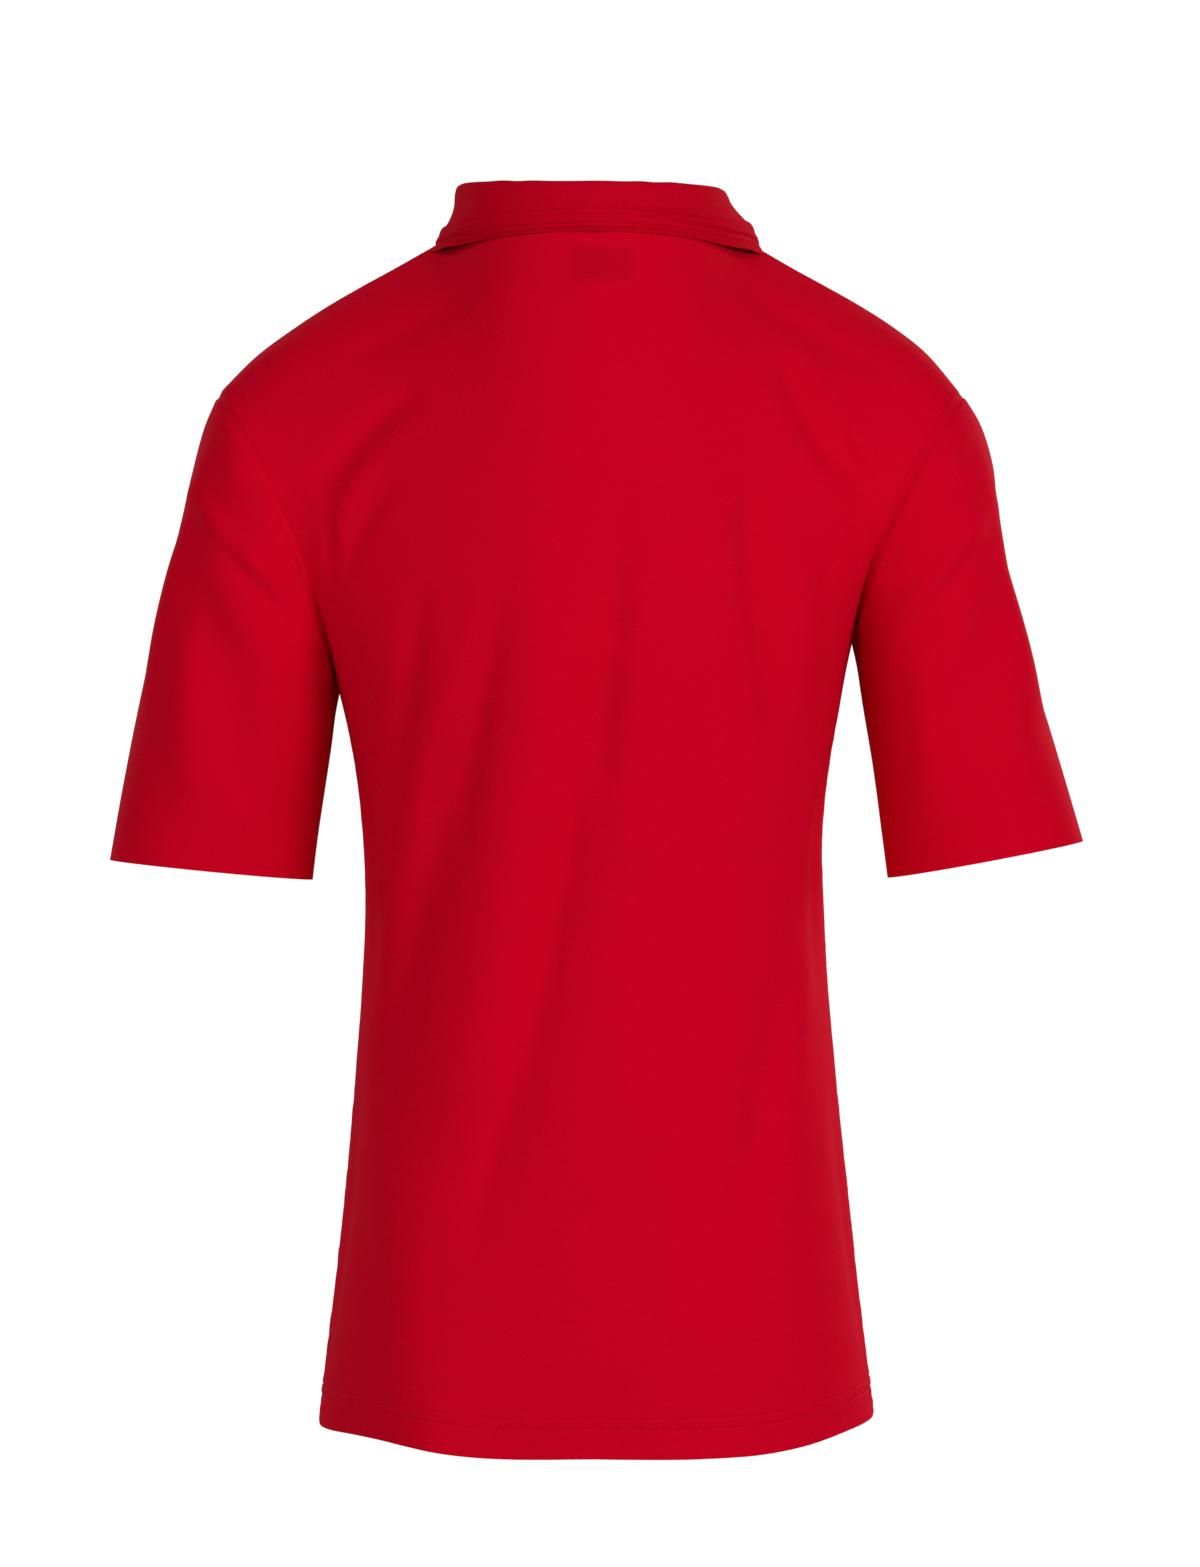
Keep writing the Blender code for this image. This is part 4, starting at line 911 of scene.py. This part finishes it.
for face, name in ((-1, "hem_stitches_back"), (1, "hem_stitches_front")):
    to_edge = run_down(fine[face])[-1] - run_down(fine[face])
    rows = []
    for row in STITCH_ROWS:
        line, out = level_line(to_edge, fine[face], fine_out[face], row)
        rows.append(stitch_points(line, out))
    stitches(name, rows)
for side, name in ((-1, "cuff_stitches_left"), (1, "cuff_stitches_right")):
    outer, out_of_cuff, to_edge = cuffs[side]
    rows = []
    for row in STITCH_ROWS:
        line, out = level_line(to_edge, outer, out_of_cuff, row)
        line, out = np.concatenate([line, line[:1]]), np.concatenate([out, out[:1]])
        rows.append(stitch_points(line, out))
    stitches(name, rows)


# Collar. One flat-knit piece in 1x1 rib, folded over on itself: a stand sewn into the neck seam, a soft
# roll and a fall that ends in two points. Three ridges are knitted in along its outer edge.
RIB = 0.0017  # thickness of the knit
COLLAR_GAP = 0.0006  # from the neck seam to the foot of the stand
COLLAR_MEETS = 0.0013  # from the centre front to each of its two ends
COLLAR_OPENS = (110, 170)  # degrees over which the stand turns down to lie on the front
COLLAR_LEAN = {-1: -0.04, 1: 0.20}  # slope of the stand towards the neck, at the left and the right
COLLAR_DIP = {-1: 0.0000, 1: 0.0030}  # by which the stand is lower there than at the back
STAND_SHARES = (0, 0.25, 0.62, 1)
ROLL_RADIUS = 0.0023
ROLL_ROWS = 4
FALL_LEAN = {-1: 0.00, 1: 0.40}  # slope of the fall away from the neck where it starts
BACK_STIFFNESS = 0.42  # share of the fall's length that hangs before it turns towards its edge
FALL_STIFFNESS = {-1: 0.60, 1: 0.30}  # the same at the left and the right
FALL_SHARES = (0.34, 0.68)
COLLAR_SPREAD = {-1: 1.00, 1: 1.04}  # of the fall's edge sideways
COLLAR_HUG = (0.955, 0.88)  # share of its depth that the edge keeps, at the back and at the side
COLLAR_CLEAR = 0.0012  # least distance from the body's cloth to the middle of the knit
COLLAR_LIES = 0.9  # share of the way down to that distance at the edge
RIDGES = (0.0030, 0.0070, 0.0110)  # from the edge to the middle of each
RIDGE_HALF_PITCH = 0.0020
RIDGE_HEIGHT, GROOVE_DEPTH = 0.0009, 0.0008
NEAR_NECK_ROWS = 70  # fine rows of the body that the collar can lie on
FALL_ROW = 28  # fine row of the collar from which it is kept clear of the body
NECK_STITCH_DROP, NECK_STITCH_REACH = 0.0095, 0.092  # of the row of stitches below the back neck
COLLAR = (  # degrees from the centre back, stand, edge x, edge y, edge z
    (0, 0.0230, 0.0000, -0.0850, -0.0050), (30, 0.0228, 0.0460, -0.0750, -0.0052),
    (60, 0.0226, 0.0830, -0.0450, -0.0060), (90, 0.0220, 0.1015, 0.0000, -0.0080),
    (115, 0.0185, 0.1010, 0.0420, -0.0240), (140, 0.0110, 0.0860, 0.0790, -0.0600),
    (160, 0.0055, 0.0660, 0.0960, -0.0960), (180, 0.0030, 0.0450, 0.1040, -0.1230),
)


def collar_half(side, rim):
    """Middle points of half of the collar's wall, from the centre back. Down each column they climb the
    stand, turn over a half circle, and fall to the edge on a curve of the second degree."""
    slot = math.degrees(math.asin(SLOT_HALF_WIDTH / NECK_HALF_WIDTH))
    end = 180 - math.degrees(math.asin(COLLAR_MEETS / NECK_HALF_WIDTH))
    to_side = np.linspace(slot, 90, NECK_COLUMNS + 1)
    to_front = np.linspace(90, 180 - slot, NECK_COLUMNS + 1)[1:]
    angles = np.concatenate([[0.0], to_side, to_front, [end]])
    to_neck_side = np.sin(np.radians(np.minimum(angles, 90)))[:, None]
    at_side = np.sin(np.radians(angles))[:, None] ** 2
    seam = neck_seam(angles, side)
    past = unit(np.cross(unit(np.gradient(seam, axis=0)), rim))
    past *= np.sign(past[:, 2:3] + 1e-9)
    base = seam - rim * CLOTH / 2 + past * COLLAR_GAP
    outwards = np.stack([seam[:, 0] / NECK_HALF_WIDTH**2, seam[:, 1] / NECK_BACK**2, 0 * angles], axis=1)
    outwards = unit(outwards)
    values = read(COLLAR, angles)
    stand, edge = values[:, 0:1], values[:, 1:] * np.array([side * COLLAR_SPREAD[side], 1, 1])
    edge[:, 1:2] *= np.where(edge[:, 1:2] < 0, mix(*COLLAR_HUG, at_side), 1)
    stand = stand - COLLAR_DIP[side] * at_side
    upright = unit(np.array([0, 0, 1.0]) - outwards * COLLAR_LEAN[side] * to_neck_side)
    opened = step(*COLLAR_OPENS, angles)[:, None]
    rise = unit(mix(upright, past, opened))
    leaning = unit(np.array([0, 0, 1.0]) - outwards * FALL_LEAN[side] * to_neck_side**2)
    hang = unit(mix(leaning, past, opened))
    beside = unit(outwards - rise * (outwards * rise).sum(axis=1, keepdims=True))
    rows = [base + rise * stand * share for share in STAND_SHARES]
    for turn in np.linspace(0, math.pi, ROLL_ROWS + 1)[1:]:
        rolled = ROLL_RADIUS * ((1 - math.cos(turn)) * beside + math.sin(turn) * rise)
        rows.append(rows[len(STAND_SHARES) - 1] + rolled)
    start = rows[-1]
    length = np.linalg.norm(edge - start, axis=1, keepdims=True)
    bend = start - hang * length * mix(BACK_STIFFNESS, FALL_STIFFNESS[side], at_side)
    first_ridge = RIDGES[-1] + RIDGE_HALF_PITCH
    to_edge = [mix(length, first_ridge, share) for share in FALL_SHARES] + [0 * length + first_ridge]
    for ridge in RIDGES[::-1]:
        to_edge += [0 * length + ridge, 0 * length + ridge - RIDGE_HALF_PITCH]
    to_edge[-1] = 0 * length
    for distance in to_edge:
        share = 1 - distance / length
        rows.append((1 - share) ** 2 * start + 2 * share * (1 - share) * bend + share**2 * edge)
    return np.array(rows)


def laid_on(rows, cloth, out, distance, lies):
    """Rows of points moved along the normal of the cloth under them until they are at least this far from
    it, and then by each row's own share of the way down to that distance. The cloth is its own points, and
    the nearest to each point is the one with the smallest squared distance."""
    moved = rows.copy()
    cloth_squared = (cloth**2).sum(axis=1)
    for row, lie in zip(moved, lies):
        near = (cloth_squared - 2 * row @ cloth.T).argmin(axis=1)
        height = ((row - cloth[near]) * out[near]).sum(axis=1)
        wanted = mix(np.maximum(height, distance), distance, lie)
        row += out[near] * (wanted - height)[:, None]
    return moved


halves = {}
middle_column = column_count // 2
neck_rim = cut_out[-1][0].copy()
shoulders = np.r_[0 : SHOULDER_COLUMNS + 1, column_count - SHOULDER_COLUMNS : column_count + 1]
neck_rim[shoulders] = unit(neck_rim[shoulders] + cut_out[1][0, shoulders])
front_rim = cut_out[1][0].copy()
front_rim[shoulders] = neck_rim[shoulders]
for side in (-1, 1):
    neck = [middle_column + side * k for k in range(NECK_COLUMNS + 2)]
    halves[side] = collar_half(side, np.concatenate([neck_rim[neck], front_rim[neck[:-1]][::-1]]))
knit_grid = np.concatenate([halves[-1][:, :0:-1], halves[1]], axis=1)
cloth_under = [
    np.concatenate([values[face][:NEAR_NECK_ROWS].reshape(-1, 3) for face in (-1, 1)])
    for values in (fine, fine_out)
]
over = len(STAND_SHARES) + ROLL_ROWS // 2
from_back = np.abs(np.arange(knit_grid.shape[1]) - knit_grid.shape[1] // 2)
starts_lying = mix(over + 8, over + 5, step(2, 6, from_back))
lies = COLLAR_LIES * step(starts_lying, over + 10, np.arange(over, len(knit_grid))[:, None])
moved = laid_on(knit_grid[over:], *cloth_under, COLLAR_CLEAR, lies) - knit_grid[over:]
for _ in range(3):
    moved[:, 1:-1] += (moved[:, :-2] + moved[:, 2:] - 2 * moved[:, 1:-1]) / 4
knit_grid[over:] += moved

collar_rows = np.concatenate([np.arange(0, over + 4, 0.25), over + 4 + np.linspace(0, 6, 49)])
collar_columns = np.linspace(0, knit_grid.shape[1] - 1, 6 * (knit_grid.shape[1] - 1) + 1)
smooth = refined(knit_grid, collar_rows, collar_columns)
fall = smooth[FALL_ROW:]
clear = laid_on(fall, *cloth_under, RIB / 2 + 0.0003, np.zeros(len(fall))) - fall
fall += relaxed(clear, np.ones(clear.shape[:2]), 12)
outwards = normals(smooth)
if outwards[-1, smooth.shape[1] // 2, 1] > 0:
    outwards = -outwards
last_row = knit_grid.shape[0] - 1
from_ridge = np.min([np.abs(collar_rows - (last_row - 1 - 2 * k)) for k in range(len(RIDGES))], axis=0)
down, across = run_down(smooth), run_across(smooth)
to_edge = down[-1] - down
to_end = np.minimum(across, across[:, -1:] - across)
relief = RIDGE_HEIGHT * np.where(from_ridge < 1, np.cos(math.pi / 2 * from_ridge) ** 2, 0)[:, None]
for ridge in RIDGES:
    relief = relief - GROOVE_DEPTH * bell(to_edge - ridge - RIDGE_HALF_PITCH, 0.0006)
relief = relief - 0.0010 * bell(to_edge, 0.0022) - 0.0006 * bell(to_end, 0.0010)
relief += 0.00022 * ripple(across + 0.4 * down, 0.031, 0.7) * step(0.004, 0.02, to_edge)
outer = smooth + outwards * (RIB / 2 + relief)[..., None]
inner = smooth - outwards * (RIB / 2)
collar_across = across[FALL_ROW + 2] - across[FALL_ROW + 2, across.shape[1] // 2]
collar_flat = np.stack([np.broadcast_to(collar_across, down.shape), down], axis=-1)

rib = cloth_material("rib_knit", (196, 0, 32), 0.0008, 1000, 0.00028)
piece = shell("rib_collar", outer, inner, collar_flat, rib)
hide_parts("collar")
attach(piece, "root")
upwards = slice(NEAR_NECK_ROWS - 1, None, -1)
drop = run_down(fine[-1])[upwards]
line, out = level_line(drop, fine[-1][upwards], fine_out[-1][upwards], NECK_STITCH_DROP)
over_back = np.abs(line[:, 0]) < NECK_STITCH_REACH
stitches("neck_stitches", [stitch_points(line[over_back], out[over_back])])


# Placket. A slot in the front is closed by two folded strips of the same pique. The under strip fills it,
# and the upper strip laps over it and both its edges are topstitched, with a box at its foot.
STRIP_LAP = 0.0015
STRIP_END = 0.014
PLACKET_GAP = 0.0003
STRIP_WALL = 0.0013
STRIP_EDGE = 0.0017  # from the edge to its topstitching
STRIP_ROWS_BETWEEN = 12  # fine rows in each cell of the slot's own grid


def strip(half_width, first_out, extra):
    """A strip's inner face: three columns of the front's own points about the slot, moved out, and a last
    row that lies past the slot's end, or short of it."""
    columns = slice(middle_column - 1, middle_column + 2)
    rows = slice(0, SLOT_ROWS + 1)
    three, out = cut[1][rows, columns], cut_out[1][rows, columns]
    three = mix(three[:, 1:2], three, half_width / SLOT_HALF_WIDTH)
    last = three[-1:] + unit(three[-1:] - three[-2:-1]) * extra
    three = np.concatenate([three, last]) if extra > 0 else np.concatenate([three[:-1], last])
    out = np.concatenate([out, out[-1:]]) if extra > 0 else out
    return three + out * first_out


strips = {}
for name, node, half_width, first_out, extra in (
    ("placket_under_strip", "placket_under", SLOT_HALF_WIDTH - PLACKET_GAP, -0.0014, -PLACKET_GAP),
    ("placket_upper_strip", "placket_upper", SLOT_HALF_WIDTH + STRIP_LAP, PLACKET_GAP, STRIP_END),
):
    coarse = strip(half_width, first_out, extra)
    rows = np.linspace(0, len(coarse) - 1, STRIP_ROWS_BETWEEN * (len(coarse) - 1) + 1)
    columns = np.concatenate([
        np.linspace(0, 0.25, 8)[:-1], np.linspace(0.25, 1.75, 13), np.linspace(1.75, 2, 8)[1:],
    ])
    smooth = refined(coarse, rows, columns)
    outwards = normals(smooth)
    outwards *= np.sign(outwards[..., 1:2])
    down, across = run_down(smooth), run_across(smooth)
    to_foot = down[-1] - down
    to_side = np.minimum(across, across[:, -1:] - across)
    to_rim = np.minimum(to_side, np.minimum(to_foot, down))
    sewn = bell(to_side - STRIP_EDGE, 0.0009) + bell(to_foot - STRIP_EDGE, 0.0009) * (to_side > STRIP_EDGE)
    sewn = np.minimum(sewn + bell(to_foot - STRIP_END, 0.0009) * (to_side > STRIP_EDGE), 1)
    relief = STRIP_WALL - 0.0006 * bell(to_rim, 0.0008) - 0.0003 * sewn
    relief += 0.00016 * ripple(down, 0.009, half_width * 100) * bell(to_side - 0.002, 0.003)
    outer = smooth + outwards * relief[..., None]
    places = np.stack([across - across[:, across.shape[1] // 2][:, None], down], axis=-1)
    piece = shell(name, outer, smooth, places, pique)
    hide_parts(node)
    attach(piece, "root")
    strips[name] = outer, outwards, to_side, to_foot

upper, upper_out, to_side, to_foot = strips["placket_upper_strip"]
rows = []
for half in (slice(0, upper.shape[1] // 2 + 1), slice(None, upper.shape[1] // 2 - 1, -1)):
    turned, turned_out = upper[:, half].swapaxes(0, 1), upper_out[:, half].swapaxes(0, 1)
    line, out = level_line(-to_side[:, half].T, turned, turned_out, -STRIP_EDGE)
    above_foot = to_foot[:, 0] > STRIP_EDGE
    rows.append(stitch_points(line[above_foot], out[above_foot]))
for level in (STRIP_EDGE, STRIP_END):
    line, out = level_line(to_foot, upper, upper_out, level)
    inside = to_side[-1] >= STRIP_EDGE
    rows.append(stitch_points(line[inside], out[inside]))
stitches("placket_stitches", rows)


# Buttons. Three four-hole buttons of dyed resin, turned with a raised rim, each sewn through the upper
# strip with a cross of thread. A button is buttoned in the middle of its hole.
BUTTON_ROWS = (0.9, 4.0, 7.1)  # of the slot's own grid
BUTTON_RADIUS = 0.0056
BUTTON_POINTS = 72
HOLE_RADIUS, HOLE_PLACE, HOLE_DEPTH = 0.00085, 0.00155, 0.0014
CROSS_HEIGHT, CROSS_THREAD = 0.0017, 0.00035
BUTTONHOLE_HALF_WIDTH, BUTTONHOLE_HALF_LENGTH = 0.0009, 0.0068
BUTTON_PROFILE = (  # radius, height of the upper face
    (0.0000, 0.0016), (0.0030, 0.0016), (0.0036, 0.0016), (0.0043, 0.0021), (0.0049, 0.00235),
    (0.0053, 0.0021), (0.0056, 0.0015),
)

RESIN_RED = (160, 6, 28)
resin, resin_tree = new_material("button_resin", 0.45, 0.25)
resin_place = resin_tree.nodes.new("ShaderNodeTexCoord").outputs["Object"]
colour_by(resin_tree, RESIN_RED, scaled(resin_tree, noise(resin_tree, resin_place, 420, 3), 0.5, 0.75))


def button(name, place, across, down, up):
    """A turned button: rings carried round its axis up its edge and over its upper face, which is sunk
    round each of the four holes by a steep bell."""
    radii = np.concatenate([np.linspace(0.0004, 0.0030, 14), np.linspace(0.0032, BUTTON_RADIUS, 12)])
    upper_face = read(BUTTON_PROFILE, radii)[:, 0]
    radii = np.concatenate([[0.0004, 0.0030, 0.0049, 0.0055, 0.0056], radii[::-1]])
    heights = np.concatenate([[0.0, 0.0, 0.0, 0.0005, 0.0010], upper_face[::-1]])
    turn = np.arange(BUTTON_POINTS) * 2 * math.pi / BUTTON_POINTS
    x, y = radii[:, None] * np.cos(turn), radii[:, None] * np.sin(turn)
    z = np.repeat(heights[:, None], len(turn), axis=1)
    for hole_x in (-HOLE_PLACE / math.sqrt(2), HOLE_PLACE / math.sqrt(2)):
        for hole_y in (-HOLE_PLACE / math.sqrt(2), HOLE_PLACE / math.sqrt(2)):
            far = np.hypot(x - hole_x, y - hole_y)
            sunk = step(HOLE_RADIUS, HOLE_RADIUS * 0.72, far) * HOLE_DEPTH
            z -= np.where(heights[:, None] > 0.0012, sunk, 0)
    points = (place + x[..., None] * across + y[..., None] * down + z[..., None] * up).reshape(-1, 3)
    index = np.arange(len(radii) * len(turn)).reshape(len(radii), -1)
    index = np.concatenate([index, index[:, :1]], axis=1)
    quads = np.stack([index[:-1, :-1], index[:-1, 1:], index[1:, 1:], index[1:, :-1]], axis=-1).reshape(-1, 4)
    caps = [index[0, :-1][::-1].tolist(), index[-1, :-1].tolist()]
    mesh = bpy.data.meshes.new(name)
    mesh.from_pydata(points, [], quads.tolist() + caps)
    mesh.shade_smooth()
    mesh.set_sharp_from_angle(angle=math.radians(45))
    mesh.materials.append(resin)
    return linked(name, mesh)


buttonhole_rows, cross_rows = [], []
for number, row in enumerate(BUTTON_ROWS, start=1):
    fine_row = int(round(row * STRIP_ROWS_BETWEEN))
    centre = upper.shape[1] // 2
    place, up = upper[fine_row, centre], upper_out[fine_row, centre]
    down = unit(upper[fine_row + 2, centre] - upper[fine_row - 2, centre])
    across = unit(np.cross(down, up))
    seat = place + up * PLACKET_GAP
    piece = button(f"resin_button_{number}", seat, across, down, up)
    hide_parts(f"button_{number}")
    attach(piece, "root")
    top = seat + up * CROSS_HEIGHT
    reach = HOLE_PLACE * 1.1
    for slant in (-1, 1):
        arm = (across + slant * down) / math.sqrt(2) * reach
        line = np.array([mix(top - arm, top + arm, share) for share in np.linspace(0, 1, 5)])
        cross_rows.append(stitch_points(line, np.tile(up, (5, 1)), 2 * reach, 2 * reach, CROSS_THREAD))
    turn = np.linspace(0, 2 * math.pi, 61)[:, None]
    oval = place + np.cos(turn) * across * BUTTONHOLE_HALF_WIDTH
    oval = oval + np.sin(turn) * down * BUTTONHOLE_HALF_LENGTH
    buttonhole_rows.append(stitch_points(oval, np.tile(up, (61, 1)), 0.0005, 0.0011, 0.00022))
stitches("button_threads", cross_rows)
stitches("buttonholes", buttonhole_rows)


# Studio. A plain pale floor well below the hem, white all round, and soft boxes behind the camera.
FLOOR_REACH, FLOOR_HEIGHT = 4, -1.5
floor_mesh = bpy.data.meshes.new("floor")
floor_corners = [(-FLOOR_REACH, -FLOOR_REACH, FLOOR_HEIGHT), (FLOOR_REACH, -FLOOR_REACH, FLOOR_HEIGHT)]
floor_corners += [(FLOOR_REACH, FLOOR_REACH, FLOOR_HEIGHT), (-FLOOR_REACH, FLOOR_REACH, FLOOR_HEIGHT)]
floor_mesh.from_pydata(floor_corners, [], [(0, 1, 2, 3)])
pale, pale_tree = new_material("pale_floor", 0.9, 0.5)
pale_shader = pale_tree.nodes["Principled BSDF"]
pale_shader.inputs["Base Color"].default_value = (0.9, 0.9, 0.9, 1)
pale_shader.inputs["Emission Color"].default_value = (0.8, 0.8, 0.8, 1)
seen_floor = pale_tree.nodes.new("ShaderNodeLightPath").outputs["Is Camera Ray"]
pale_tree.links.new(seen_floor, pale_shader.inputs["Emission Strength"])
floor_mesh.materials.append(pale)
linked("floor", floor_mesh)


MIDDLE = (0, 0, -0.34)  # of the shirt
BOX_SIZE = 1.0
SOFT_BOXES = (  # name, x, distance, height, power
    ("high", 0, 2.2, 1.9, 21),
    ("right", 1.9, 2.1, 0.3, 36),
    ("left", -1.9, 2.1, 0.3, 18),
)


def soft_box(name, place, power):
    """A square area light at a place, turned towards the middle of the shirt."""
    light = bpy.data.lights.new(name, "AREA")
    light.shape = "SQUARE"
    light.size = BOX_SIZE
    light.energy = power
    lamp = linked(name, light)
    lamp.location = place
    direction = Vector(MIDDLE) - Vector(place)
    lamp.rotation_euler = direction.to_track_quat("-Z", "Y").to_euler()


for name, facing in (("back", -1), ("front", 1)):
    for box, x, distance, height, power in SOFT_BOXES:
        soft_box(f"{name}_{box}", (x, distance * facing, height), power)

world = bpy.data.worlds.new("studio")
bpy.context.scene.world = world
world.use_nodes = True
sky = world.node_tree
choose = sky.nodes.new("ShaderNodeMixShader")
sky.links.new(sky.nodes.new("ShaderNodeLightPath").outputs["Is Camera Ray"], choose.inputs["Fac"])
for socket, background, strength in (
    (1, sky.nodes["Background"], 0.10),
    (2, sky.nodes.new("ShaderNodeBackground"), 1.05),
):
    background.inputs["Color"].default_value = (1, 1, 1, 1)
    background.inputs["Strength"].default_value = strength
    sky.links.new(background.outputs["Background"], choose.inputs[socket])
sky.links.new(choose.outputs["Shader"], sky.nodes["World Output"].inputs["Surface"])
bpy.context.scene.view_settings.view_transform = "Standard"

camera_data = bpy.data.cameras.new("camera")
camera_data.lens = 113.9
camera = linked("camera", camera_data)
camera.location = (0.003, -3.0, -0.332)
camera.rotation_euler = (math.radians(90), 0, 0)
bpy.context.scene.camera = camera
